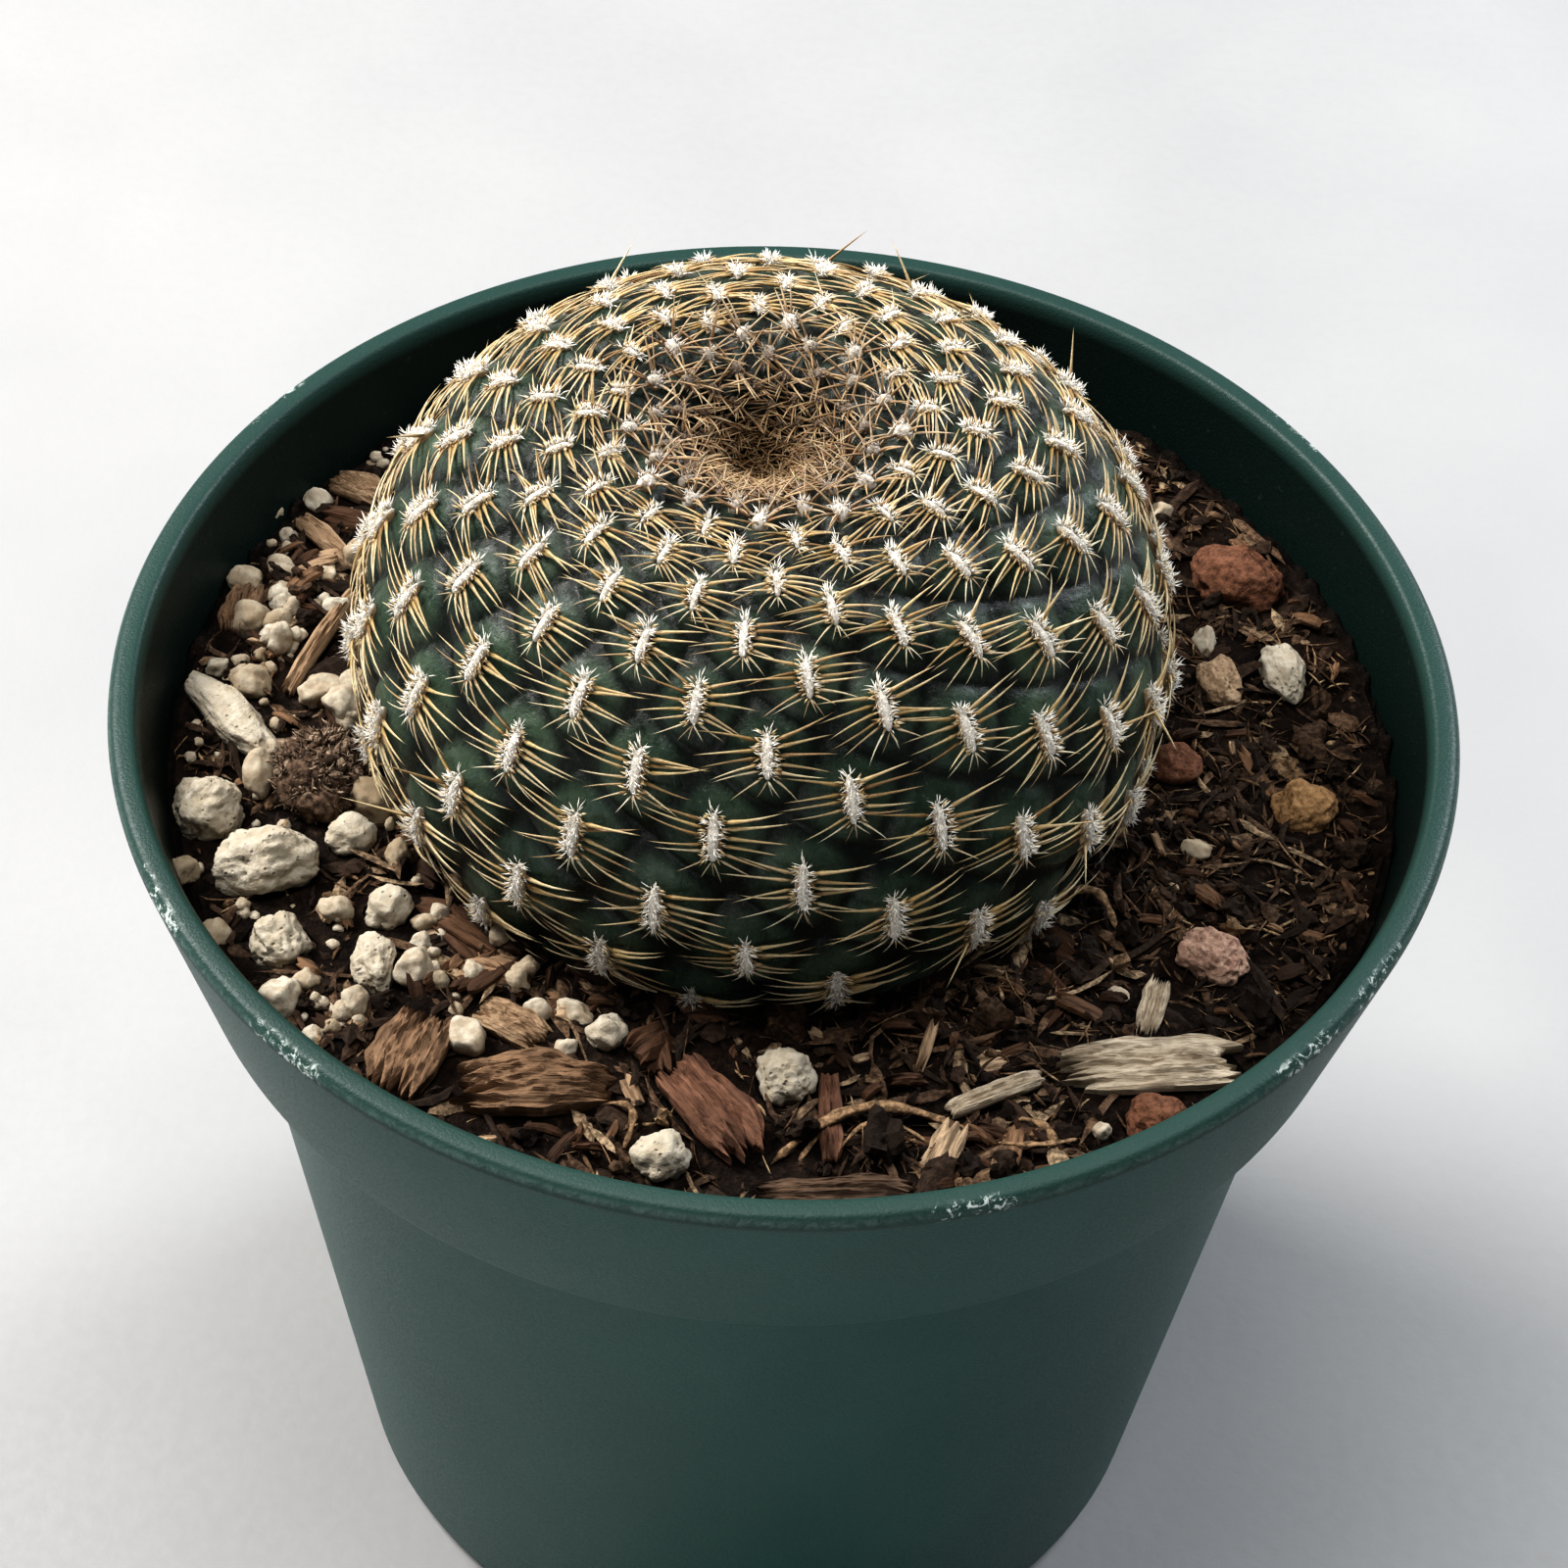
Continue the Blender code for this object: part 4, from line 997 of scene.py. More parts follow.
def build_bristles(finish):
    """The golden fringe along both sides of each cushion: stiff bristles among the spines' bases."""
    chance = np.random.default_rng(14)
    spots = Areoles(np.arange(YOUNG, LAST_STAR + 1))
    length, width, height = cushion_size(spots)
    which, count = spots.each(BRISTLES)
    level = chance.uniform(-0.92, 0.95, count)
    hand = np.where(chance.random(count) < 0.5, -1.0, 1.0)
    side = hand * width[which] * np.sqrt(1.0 - 0.8 * level**2) * chance.uniform(0.6, 1.0, count)
    roots = spots.at(which, side, level * length[which], chance.uniform(0.1, 0.7, count) * height[which])
    heading = np.radians(22.0 * level + chance.normal(0.0, 24.0, count))
    heading = np.where(hand > 0, heading, math.pi - heading)
    early = np.radians(chance.uniform(10.0, 50.0, count))
    reach = BRISTLE_LENGTH * (0.5 + 0.5 * spots.scale[which]) * chance.uniform(0.5, 1.2, count)
    rises = (early, early - 0.4)
    lines = spots.grow(which, roots, (heading, heading), rises, reach, len(BRISTLE_TAPER))
    girths = BRISTLE_GIRTH * BRISTLE_TAPER * chance.uniform(0.6, 1.2, (count, 1))
    tint, pale = chance.random(count), chance.uniform(0.0, 0.5, count)
    return rods("bristles", finish, lines, girths, tint=tint, pale=pale)


# The loose pieces that have CAD nodes: places and sizes in millimetres, heading in degrees, above as the
# share of the thickness that stands above the mix, and the tone of its wood or stone
Loose = namedtuple("Loose", "x y length width thick heading above tone", defaults=("",))


def loose(*rows):
    """Loose pieces from rows in the order of Loose's columns."""
    return [Loose(*row) for row in rows]


PERLITE = loose(
    (-44.0, -0.5, 11.0, 3.6, 3.4, -48, 0.70),
    (-44.6, -10.3, 5.4, 5.4, 5.0, 0, 0.65),
    (-39.4, -15.6, 8.2, 5.8, 5.4, 12, 0.70),
    (-37.6, -23.0, 4.8, 4.6, 4.4, 20, 0.65),
    (-29.6, -19.2, 3.8, 3.6, 3.4, 0, 0.65),
    (-30.2, -24.8, 3.6, 5.0, 3.6, 10, 0.70),
    (-33.2, -12.2, 3.8, 3.6, 3.4, 35, 0.70),
    (-12.0, -30.9, 3.2, 3.0, 3.0, 0, 0.65),
    (-7.4, -42.2, 4.1, 4.0, 3.8, 0, 0.65),
    (1.4, -34.4, 4.2, 4.6, 4.2, 30, 0.70),
    (40.2, 10.7, 6.2, 3.4, 3.4, 108, 0.65),
)
CLAY = loose(
    (37.0, 21.6, 8.2, 6.4, 4.8, -20, 0.60, "red"),
    (33.7, -19.8, 5.6, 4.6, 4.0, -35, 0.65, "pink"),
    (29.0, -36.5, 4.6, 4.2, 3.6, 10, 0.70, "red"),
    (35.0, 9.4, 3.6, 5.0, 3.2, 15, 0.65, "tan"),
    (31.4, 0.2, 4.2, 4.0, 3.2, 0, 0.60, "red"),
    (41.4, -4.0, 5.0, 4.8, 4.0, 40, 0.55, "orange"),
)
BARK = loose(
    (-36.6, 27.0, 5.6, 2.8, 1.6, -25, 0.75, "tan"),
    (-44.8, 12.2, 6.2, 3.0, 1.8, 82, 0.75, "brown"),
    (-26.6, -33.6, 8.2, 5.4, 2.2, 72, 0.75, "brown"),
    (-17.0, -36.1, 12.0, 5.4, 2.8, 5, 0.75, "brown"),
    (-19.4, -29.8, 6.2, 3.2, 1.6, -30, 0.75, "tan"),
    (-3.8, -37.8, 10.4, 4.8, 2.0, -52, 0.80, "red"),
    (5.6, -44.6, 12.4, 3.4, 1.4, 3, 0.75, "dark"),
    (28.9, -31.0, 14.0, 5.2, 1.8, 8, 0.80, "straw"),
    (29.1, -24.6, 6.2, 2.0, 1.4, 76, 0.75, "straw"),
)
STICKS = loose(
    (-38.9, 20.6, 7.6, 2.0, 1.6, -47, 0.75, "tan"),
    (-37.9, 8.9, 13.0, 1.6, 1.5, 70, 0.75, "tan"),
    (4.9, -37.3, 8.6, 1.7, 1.6, -87, 0.75, "red"),
    (17.2, -34.2, 8.2, 1.8, 1.6, 28, 0.75, "straw"),
)
PEAT = Loose(-36.1, -6.2, 7.6, 8.0, 5.8, 0, 0.65)
LOOSE_PIECES = [*PERLITE, *CLAY, *BARK, *STICKS, PEAT]

# Small perlite grains, most of them at the left, as x, y and length in millimetres
SMALL_PERLITE = (
    (-44.9, 15.5, 3.2), (-43.9, 10.8, 3.0), (-41.8, 13.9, 2.2), (-45.9, 5.3, 2.0), (-43.0, 3.6, 2.8),
    (-41.2, 8.2, 2.6), (-37.4, 3.4, 3.4), (-35.3, 1.0, 2.8), (-41.0, -6.6, 3.2), (-45.6, -17.2, 2.8),
    (-42.4, -22.6, 2.6), (-31.6, -8.6, 3.8), (-29.4, -14.4, 2.4), (-26.7, -20.3, 2.2), (-33.6, -19.8, 2.6),
    (-27.0, -25.4, 3.0), (-31.2, -29.6, 2.8), (-36.6, -29.0, 3.4), (-22.5, -31.9, 2.8), (-17.3, -28.4, 2.4),
    (-14.6, -28.6, 2.6), (-15.0, -31.8, 2.0), (-44.0, 24.0, 2.4), (-42.1, 21.4, 2.2), (-40.0, 25.9, 2.6),
    (-38.4, 16.4, 2.2), (-35.6, 18.6, 2.8), (-37.0, 12.8, 2.2), (26.3, -23.6, 1.8), (25.0, -37.7, 1.6),
    (30.6, 29.0, 2.6), (34.0, 13.8, 2.6), (32.8, -8.9, 2.0),
)


# The potting mix


def soil_height(x, y):
    """The top of the potting mix, as in its CAD node: level, with lumps and dips."""
    broad = noise.noise(Vector((x, y, 0.0)) / SOIL_LUMP_SIZE)
    fine = noise.noise(Vector((x, y, SOIL_LEVEL / 2)) / SOIL_GRAIN_SIZE)
    return SOIL_LEVEL + SOIL_BUMP * (broad + 0.6 * fine)


# The crust is a ring whose inner edge lies under the plant and whose outer edge lies at the pot's wall
CRUST_ROWS = 84
CRUST_COLUMNS = 500
CRUST_INNER = 24.0 * MM
CRUST_OUTER = 48.8 * MM
CRUST_DEPTH = 3.0 * MM
# Over how far from a loose piece the crust is pressed down, and what counts as far from them all
CRUST_REACH = 1.2 * MM
FAR_FROM_PIECES = 9.0 * MM


def crust_detail(x, y):
    """Crumbly height over the level of the mix."""
    place = Vector((x, y, 0.0))
    clods = noise.fractal(place / (3.0 * MM), 0.8, 2.1, 4)
    crumbs = noise.fractal(place / (0.9 * MM) + Vector((9.0, 2.0, 4.0)), 0.8, 2.1, 3)
    return -0.1 * MM + 1.15 * MM * clods + 0.55 * MM * crumbs


def gap_to_pieces(x, y):
    """How far a place is from the outline of the nearest loose piece; 0 is under it."""
    nearest = FAR_FROM_PIECES
    for piece in LOOSE_PIECES:
        away = Vector((x - piece.x * MM, y - piece.y * MM))
        if away.length > (piece.length + piece.width) * MM:
            continue
        turn = math.radians(-piece.heading)
        along = abs(away.x * math.cos(turn) - away.y * math.sin(turn)) - piece.length * MM / 2
        across = abs(away.x * math.sin(turn) + away.y * math.cos(turn)) - piece.width * MM / 2
        nearest = min(nearest, math.hypot(max(0.0, along), max(0.0, across)))
    return nearest


def crust_height(x, y):
    """The crumbly top, pressed down where a loose piece lies in it."""
    detail = crust_detail(x, y)
    clear = min(1.0, gap_to_pieces(x, y) / CRUST_REACH)
    pressed = min(detail, -0.3 * MM)
    return soil_height(x, y) + pressed + (detail - pressed) * clear


def surface_at(places):
    """The heights of the crumbly top at places."""
    return np.array([crust_height(x, y) for x, y in places])


def build_crust(finish):
    """The crumbly top of the mix, from under the plant to the wall of the pot, closed below."""
    radius = np.linspace(CRUST_INNER, CRUST_OUTER, CRUST_ROWS)
    around = math.tau * np.arange(CRUST_COLUMNS) / CRUST_COLUMNS
    radius, around = np.meshgrid(radius, around, indexing="ij")
    x, y = radius * np.cos(around), radius * np.sin(around)
    places = list(zip(x.ravel(), y.ravel()))
    top = surface_at(places)
    below = np.stack([x, y, np.full(x.shape, SOIL_LEVEL - CRUST_DEPTH)], axis=-1)
    below[0, :, :2] *= 0.999
    points = np.concatenate([np.column_stack([places, top]), below[-1], below[0]])
    # The last row of cells joins the ring below the inner edge to the first ring
    triangles = grid_triangles(CRUST_ROWS + 3, CRUST_COLUMNS, closed=True)[:, ::-1] % len(points)
    # The crumbly height, which the mix's finish turns into painted shade where it is low
    detail = [(height - soil_height(*place)) / MM for height, place in zip(top, places)]
    depth = np.concatenate([detail, np.zeros(2 * CRUST_COLUMNS)])
    return solid("mix_crust", finish, points, triangles, depth=depth)


# Small pieces on the mix

# The plant's radius where they meet it
PLANT_GIRDLE = 29.6 * MM


def plant_axis(height):
    """Where the plant's axis passes through a height, as x and y."""
    lean = PLANT_LEAN.to_matrix() @ Vector((0.0, 0.0, 1.0))
    point = PLANT_CENTRE + lean * (height - PLANT_CENTRE.z) / lean.z
    return point.x, point.y


def scattered(chance, count, margin, bias=None, clear=0.15 * MM):
    """Random places on the mix, inside the wall by a margin, off the plant and clear of the loose pieces.

    bias gives the share of them that is kept at a place.
    """
    centre = plant_axis(SOIL_LEVEL)
    found = []
    while len(found) < count:
        x, y = chance.uniform(-CRUST_OUTER, CRUST_OUTER, 2)
        if math.hypot(x, y) > CRUST_OUTER - margin:
            continue
        if math.hypot(x - centre[0], y - centre[1]) < PLANT_GIRDLE + 0.3 * margin:
            continue
        if bias and chance.random() > bias(x, y):
            continue
        if gap_to_pieces(x, y) < clear:
            continue
        found.append((x, y))
    return np.array(found)


def kept_inside(lines, margin):
    """Lines with each point pushed back from the pot's wall to a margin."""
    radius = np.linalg.norm(lines[..., :2], axis=-1, keepdims=True)
    lines = lines.copy()
    lines[..., :2] *= np.minimum(1.0, (CRUST_OUTER - margin) / np.maximum(radius, 1e-9))
    return lines


def left_bias(x, y):
    """More grit on the left and at the front left."""
    return 0.01 + 0.99 * float(smooth_step(np.array(-x - 0.1 * y), 10 * MM, 42 * MM))


def front_bias(x, y):
    """More large chips at the front and the left than at the right."""
    return 0.15 + 0.85 * float(smooth_step(np.array(-x - y), -15 * MM, 20 * MM))


def right_bias(x, y):
    """More fibres and clods on the right."""
    return 0.30 + 0.70 * float(smooth_step(np.array(x - 0.2 * y), -10 * MM, 25 * MM))


FIBRES = 2800
FIBRE_TAPER = np.array([0.5, 1.0, 1.0, 0.8, 0.2])
SHREDS = 2700
SHRED_TAPER = np.array([0.5, 0.95, 1.0, 0.85, 0.2])
STRAND_STEPS = 15


def build_fibres(finish):
    """Fine peat fibres lying across the mix."""
    chance = np.random.default_rng(21)
    count = FIBRES
    places = scattered(chance, count, 1.6 * MM, right_bias)
    heading = chance.uniform(0.0, math.tau, count)
    slope = np.radians(chance.normal(0.0, 14.0, count))
    length = chance.gamma(2.6, 0.95, count) * MM + 0.6 * MM
    flat = np.cos(slope)
    ways = np.stack([np.cos(heading) * flat, np.sin(heading) * flat, np.sin(slope)], -1)
    turned = heading + chance.normal(0.0, 0.6, count)
    bends = np.stack([np.cos(turned), np.sin(turned), np.full(count, -0.3)], -1)
    height = surface_at(places) + chance.uniform(0.0, 0.5, count) * MM
    roots = np.column_stack([places, height]) - ways * length[:, None] / 2
    lines = kept_inside(bent_lines(roots, ways, unit(bends), length, len(FIBRE_TAPER)), 0.6 * MM)
    girths = chance.gamma(3.0, 0.026, count)[:, None] * MM * FIBRE_TAPER + 0.014 * MM
    return rods("mix_fibres", finish, lines, girths, tint=chance.random(count))


def build_shreds(finish):
    """Flat shreds of bark fibre, bowed and tilted every way over the mix."""
    chance = np.random.default_rng(27)
    count = SHREDS
    places = scattered(chance, count, 1.2 * MM, clear=0.4 * MM)
    heading = chance.uniform(0.0, math.tau, count)
    length = (1.5 + chance.gamma(2.0, 1.25, count)) * MM
    climb = chance.normal(0.10, 0.28, count)
    ways = np.stack([np.cos(heading), np.sin(heading), climb], -1)
    turned = heading + chance.normal(0.0, 0.8, count)
    bends = np.stack([np.cos(turned), np.sin(turned), -climb - chance.uniform(0.0, 0.4, count)], -1)
    roots = np.column_stack([places, surface_at(places)]) - unit(ways) * length[:, None] / 2.2
    roots[:, 2] += chance.uniform(-0.2, 0.7, count) * MM
    steps = len(SHRED_TAPER)
    lines = kept_inside(bent_lines(roots, unit(ways), unit(bends), length, steps), 1.4 * MM)
    wide = chance.gamma(2.2, 0.11, count)[:, None] * MM + 0.08 * MM
    girths = wide * SHRED_TAPER * chance.uniform(0.75, 1.2, (count, steps))
    tint = chance.random(count) ** 1.3
    return rods("mix_shreds", finish, lines, girths, 4, smooth=False, flat=0.38, tint=tint)


def bowed_strand(bag, start, end, sag, thick):
    """One long strand between two places in millimetres, that rises between them and bows sideways."""
    share = np.linspace(0.0, 1.0, STRAND_STEPS)
    ends = np.array([start, end]) * MM
    aside = np.array([ends[0, 1] - ends[1, 1], ends[1, 0] - ends[0, 0]])
    across = ends[0] + share[:, None] * (ends[1] - ends[0]) + sag * np.sin(math.pi * share)[:, None] * aside
    level = surface_at(ends).mean() + 0.4 * MM + 1.3 * MM * np.sin(math.pi * share)
    line = np.concatenate([across, level[:, None]], axis=1)[None]
    girths = thick * MM * (0.35 + 0.65 * np.sin(math.pi * share) + 0.25 * np.sin(23.0 * share))[None]
    add_rods(bag, line, girths, 6, flat=0.4, tint=np.array([0.84]))


# Long strands at the front, as x, y of each end, sideways bow as a share of the length, and half width
STRANDS = (
    ((0.6, -42.0), (15.9, -38.3), 0.20, 0.50),
    ((2.4, -41.8), (14.2, -37.4), 0.24, 0.34),
    ((5.0, -41.4), (12.6, -39.4), 0.28, 0.22),
    ((18.6, -36.4), (21.6, -41.4), 0.18, 0.34),
    ((17.2, -38.8), (23.4, -38.0), -0.22, 0.26),
    ((-12.6, -37.4), (-10.2, -41.6), 0.40, 0.30),
    ((21.0, -15.4), (26.4, -17.6), 0.35, 0.40),
)


def build_strands(finish):
    """The few long strands that the photograph shows singly."""
    bag = Bag()
    for start, end, sag, thick in STRANDS:
        bowed_strand(bag, start, end, sag, thick)
    return bag.to_object("mix_strands", finish)


def facets(shape, seed, planes, deep):
    """How far each way on a unit ball reaches once flat faces are cut off it, as on a broken stone."""
    chance = np.random.default_rng(500 + seed)
    ways = unit(chance.normal(0.0, 1.0, (planes, 3)))
    reach = chance.uniform(deep, 0.98, planes)
    facing = unit(shape) @ ways.T
    return np.minimum(1.0, (reach / np.maximum(facing, 0.3)).min(axis=1))


def add_lumps(bag, places, sizes, detail, chance, rough, sink, **values):
    """Small rough lumps at places on the mix, with the share sink of their height below its surface.

    sizes is (n, 3) radii, and each value has one number per lump.
    """
    shape, triangles = BALLS[detail]
    heights = surface_at(places) + sizes[:, 2] * (1.0 - 2.0 * sink)
    turns = chance.uniform(0.0, math.tau, len(places))
    tilts = chance.normal(0.0, 0.35, len(places))
    for index, (x, y) in enumerate(places):
        if detail == 1:
            jitter = 1.0 + rough * chance.normal(0.0, 0.5, len(shape))
        else:
            jitter = facets(shape, index, 8, 0.64) * (1.0 + rough * noise_at(shape, 0.9, index + 1, 3))
        points = shape * np.clip(jitter, 0.4, 1.8)[:, None] * sizes[index]
        turn = np.array(Euler((tilts[index], 0.5 * tilts[index], turns[index])).to_matrix())
        points = points @ turn.T + [x, y, heights[index]]
        bag.add(points, triangles, **{key: value[index] for key, value in values.items()})


# Peat crumbs, many small ones and some larger clods, and perlite grit: how many, their least and greatest
# radius in millimetres, the detail of the ball that they are made from, how rough they are, where they lie
# and how clear of the loose pieces, in millimetres
CRUMBS = (
    (1100, 0.20, 0.55, 1, 0.35, None, 0.15),
    (220, 0.4, 0.9, 2, 0.75, right_bias, 0.15),
    (52, 0.8, 1.7, 3, 0.75, right_bias, 0.15),
)
GRIT = ((190, 0.3, 0.7, 2, 0.28, left_bias, 0.7), (66, 0.7, 1.3, 3, 0.28, left_bias, 1.3))


def build_grains(name, finish, seed, kinds, squash, sink, darkening, smooth):
    """Lumps strewn over the mix.

    squash is the range that their radii along X, Y and Z vary in, sink the share of their height below the
    mix's surface, and a darkening above 1 gives more of them the ramp's first tones.
    """
    chance = np.random.default_rng(seed)
    bag = Bag()
    for count, low, high, detail, rough, bias, clear in kinds:
        places = scattered(chance, count, high * MM + 0.4 * MM, bias, clear * MM)
        sizes = chance.uniform(low, high, (count, 1)) * chance.uniform(*squash, (count, 3)) * MM
        tint = chance.random(count) ** darkening
        add_lumps(bag, places, sizes, detail, chance, rough, sink, tint=tint)
    return bag.to_object(name, finish, smooth)


def build_small_perlite(finish):
    """The small perlite grains that stand out singly."""
    chance = np.random.default_rng(26)
    places = np.array([row[:2] for row in SMALL_PERLITE]) * MM
    radii = np.array([[row[2] / 2] for row in SMALL_PERLITE]) * MM
    sizes = radii * chance.uniform(0.72, 1.3, (len(places), 3))
    bag = Bag()
    add_lumps(bag, places, sizes, 4, chance, 0.20, 0.22, tint=chance.random(len(places)))
    return bag.to_object("small_perlite", finish)


def slab(size, seed, rows, columns, jag, ridges=9.0, edge=0.4):
    """Points and triangles of a flake split along X: torn ends, ridged faces and thinner rims."""
    long, wide, thick = size
    u, v = np.meshgrid(np.linspace(-1.0, 1.0, rows), np.linspace(-1.0, 1.0, columns), indexing="ij")
    flat = np.stack([u, v, np.zeros(u.shape)], -1).reshape(-1, 3)

    def field(scale, shift, wave, salt, octaves):
        return noise_at(flat * scale + [0.0, 0.0, shift], wave, seed + salt, octaves).reshape(u.shape)

    torn = field([0.0, 1.0, 0.0], 5.0, 1.0 / ridges, 0, 3)
    torn_far = field([0.0, 1.0, 0.0], -5.0, 1.0 / ridges, 50, 3)
    ends = 1.0 + jag * np.where(u > 0, torn, torn_far) - jag * 0.5
    sway = field([1.0, 0.0, 0.0], 0.0, 0.7, 9, 2)
    x = u * ends * long / 2
    y = (v * (1.0 - 0.25 * np.abs(u) ** 3) * (1.0 + 0.18 * sway) + 0.10 * sway) * wide / 2
    ridge = field([0.35, 1.0, 0.0], 0.0, 1.6 / ridges, 3, 4)
    fall = edge + (1.0 - edge) * (1.0 - np.maximum(np.abs(u) ** 6, np.abs(v) ** 3))
    bow = 0.25 * thick * (1.0 - u**2) - 0.12 * thick
    top = np.stack([x, y, bow + thick / 2 * fall * (0.8 + 0.45 * ridge)], -1).reshape(-1, 3)
    bottom = np.stack([x, y, bow - thick / 2 * fall], -1).reshape(-1, 3)
    faces = grid_triangles(rows, columns)
    count = rows * columns
    index = np.arange(count).reshape(rows, columns)
    outline = np.concatenate([index[0, :-1], index[:-1, -1], index[-1, :0:-1], index[:0:-1, 0]])
    after = np.roll(outline, -1)
    wall = [np.stack([outline, after + count, outline + count], -1)]
    wall.append(np.stack([outline, after, after + count], -1))
    return np.concatenate([top, bottom]), np.concatenate([faces[:, ::-1], faces + count, *wall])


# How many chips, their least and greatest length in millimetres, their rows and columns of points, and where
CHIP_KINDS = ((300, 1.2, 3.4, 7, 5, None), (90, 1.8, 4.0, 7, 5, left_bias), (62, 3.4, 6.8, 14, 9, front_bias))


def build_chips(finish):
    """Splinters and flakes of bark scattered over the mix, from slivers to chips some 7 mm long."""
    chance = np.random.default_rng(24)
    bag = Bag()
    for count, low, high, rows, columns, bias in CHIP_KINDS:
        places = scattered(chance, count, high / 2 * MM + 0.5 * MM, bias, 0.28 * high * MM)
        heights = surface_at(places)
        for index, (x, y) in enumerate(places):
            long = chance.uniform(low, high) * MM
            wide = long * chance.uniform(0.16, 0.5)
            thick = chance.uniform(0.25, 0.7) * MM * (1.0 + 0.1 * high)
            points, triangles = slab((long, wide, thick), 100 + index, rows, columns, jag=0.35, ridges=4.0)
            tilt = (chance.normal(0.0, 0.40), chance.normal(0.0, 0.28), chance.uniform(0.0, math.tau))
            turn = np.array(Euler(tilt).to_matrix())
            laid = points @ turn.T + [x, y, heights[index] + 0.5 * thick]
            run, across = points[:, 0] / MM, points[:, 1] / MM + 10.0 * index
            bag.add(laid, triangles, tint=chance.random() ** 1.6, run=run, across=across)
    return bag.to_object("mix_chips", finish, smooth=False)


# Grains, chips, sticks and the peat ball, each in the place of its CAD node

# The bumps of a lump, as in the node, and the size in millimetres from which it is made finer
LUMP_WAVES = 2.6
LUMP_DEPTH = 0.22
LARGE_LUMP = 4.5
FLAKE_ROWS = 44
BARK_COLUMNS = 30
STICK_COLUMNS = 12
PEAT_CRUMBS = 260
PEAT_FIBRES = 1440

# The dark and the light tone of each kind
WOODS = {
    "tan": ((0.14, 0.080, 0.042), (0.42, 0.29, 0.18)),
    "brown": ((0.065, 0.035, 0.019), (0.29, 0.175, 0.10)),
    "red": ((0.035, 0.014, 0.008), (0.20, 0.095, 0.055)),
    "dark": ((0.030, 0.018, 0.011), (0.11, 0.065, 0.038)),
    "straw": ((0.20, 0.14, 0.085), (0.68, 0.58, 0.44)),
}
STONES = {
    "red": ((0.065, 0.028, 0.016), (0.22, 0.096, 0.053)),
    "pink": ((0.26, 0.14, 0.10), (0.52, 0.35, 0.26)),
    "tan": ((0.20, 0.12, 0.07), (0.46, 0.33, 0.21)),
    "orange": ((0.14, 0.072, 0.030), (0.42, 0.25, 0.115)),
}


def placed(made, piece):
    """An object laid where a loose piece lies on the mix."""
    x, y = piece.x * MM, piece.y * MM
    made.location = (x, y, soil_height(x, y) + (piece.above - 0.5) * piece.thick * MM)
    made.rotation_euler = (0.0, 0.0, math.radians(piece.heading))
    return made


def lump_shape(piece, seed, rough):
    """Points and triangles of a worn grain of its CAD node's form, with finer knobs and pits."""
    shape, triangles = BALLS[5 if max(piece.length, piece.width) > LARGE_LUMP else 4]
    points = shape * 0.5
    shift = Vector((seed * 3.7, 0.0, 0.0))
    wobble = np.array([noise.noise(Vector(p) * LUMP_WAVES + shift) for p in points])
    knobs = noise_at(points, 0.22, seed, 4)
    pits = smooth_step(noise_at(points, 0.11, seed + 70, 2), 0.25, 0.60)
    factor = 1.0 + LUMP_DEPTH * wobble + rough * (0.10 * knobs - 0.07 * pits)
    if piece.length < 2.0 * piece.width:
        factor = factor * facets(shape, seed, 12, 0.84)
    size = np.array([piece.length, piece.width, piece.thick]) * MM
    return points * factor[:, None] * size, triangles


def build_lump(name, piece, seed, rough, finish):
    """A grain of perlite, clay or pumice."""
    return placed(solid(name, finish, *lump_shape(piece, seed, rough)), piece)


def build_flake(name, piece, seed, finish, columns, edge, jag):
    """A chip of bark or a stick."""
    size = (piece.length * MM, piece.width * MM, piece.thick * MM)
    made = solid(name, finish, *slab(size, seed, FLAKE_ROWS, columns, jag=jag, edge=edge))
    made.data.set_sharp_from_angle(angle=math.radians(50.0))
    return placed(made, piece)


def build_peat_ball(finish):
    """A ball of matted peat: a rough core covered with crumbs and short fibres."""
    chance = np.random.default_rng(25)
    bag = Bag()
    bag.add(*lump_shape(PEAT, 40, 1.8), tint=0.35, along=0.5)
    radii = np.array([PEAT.length, PEAT.width, PEAT.thick]) * MM / 2
    ways = unit(chance.normal(0.0, 1.0, (PEAT_CRUMBS + PEAT_FIBRES, 3)))
    shape, faces = BALLS[1]
    for way in ways[:PEAT_CRUMBS]:
        size = chance.uniform(0.18, 0.62) * MM * chance.uniform(0.6, 1.3, 3)
        jitter = np.clip(1.0 + 0.2 * chance.normal(0.0, 1.0, len(shape)), 0.5, 1.6)[:, None]
        crumb = shape * jitter * size + way * radii * chance.uniform(0.9, 1.04)
        bag.add(crumb, faces, tint=chance.random(), along=0.5)
    rooted = ways[PEAT_CRUMBS:]
    headings = unit(rooted + chance.normal(0.0, 1.1, rooted.shape))
    lengths = chance.uniform(0.5, 1.9, len(rooted)) * MM
    roots = rooted * radii * chance.uniform(0.90, 1.05, (len(rooted), 1)) - headings * lengths[:, None] * 0.3
    bends = unit(headings + chance.normal(0.0, 0.8, rooted.shape))
    lines = bent_lines(roots, headings, bends, lengths, len(FIBRE_TAPER))
    girths = chance.uniform(0.04, 0.14, len(rooted))[:, None] * MM * FIBRE_TAPER
    add_rods(bag, lines, girths, 3, tint=0.3 + 0.7 * chance.random(len(rooted)))
    return placed(bag.to_object("peat_ball", finish), PEAT)


# Assembly


def stand(piece, material_slot, *nodes):
    """The piece rides with the object and stands for CAD nodes, which it hides; material_slot is not used."""
    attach(piece, "root")
    if nodes:
        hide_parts(*nodes)


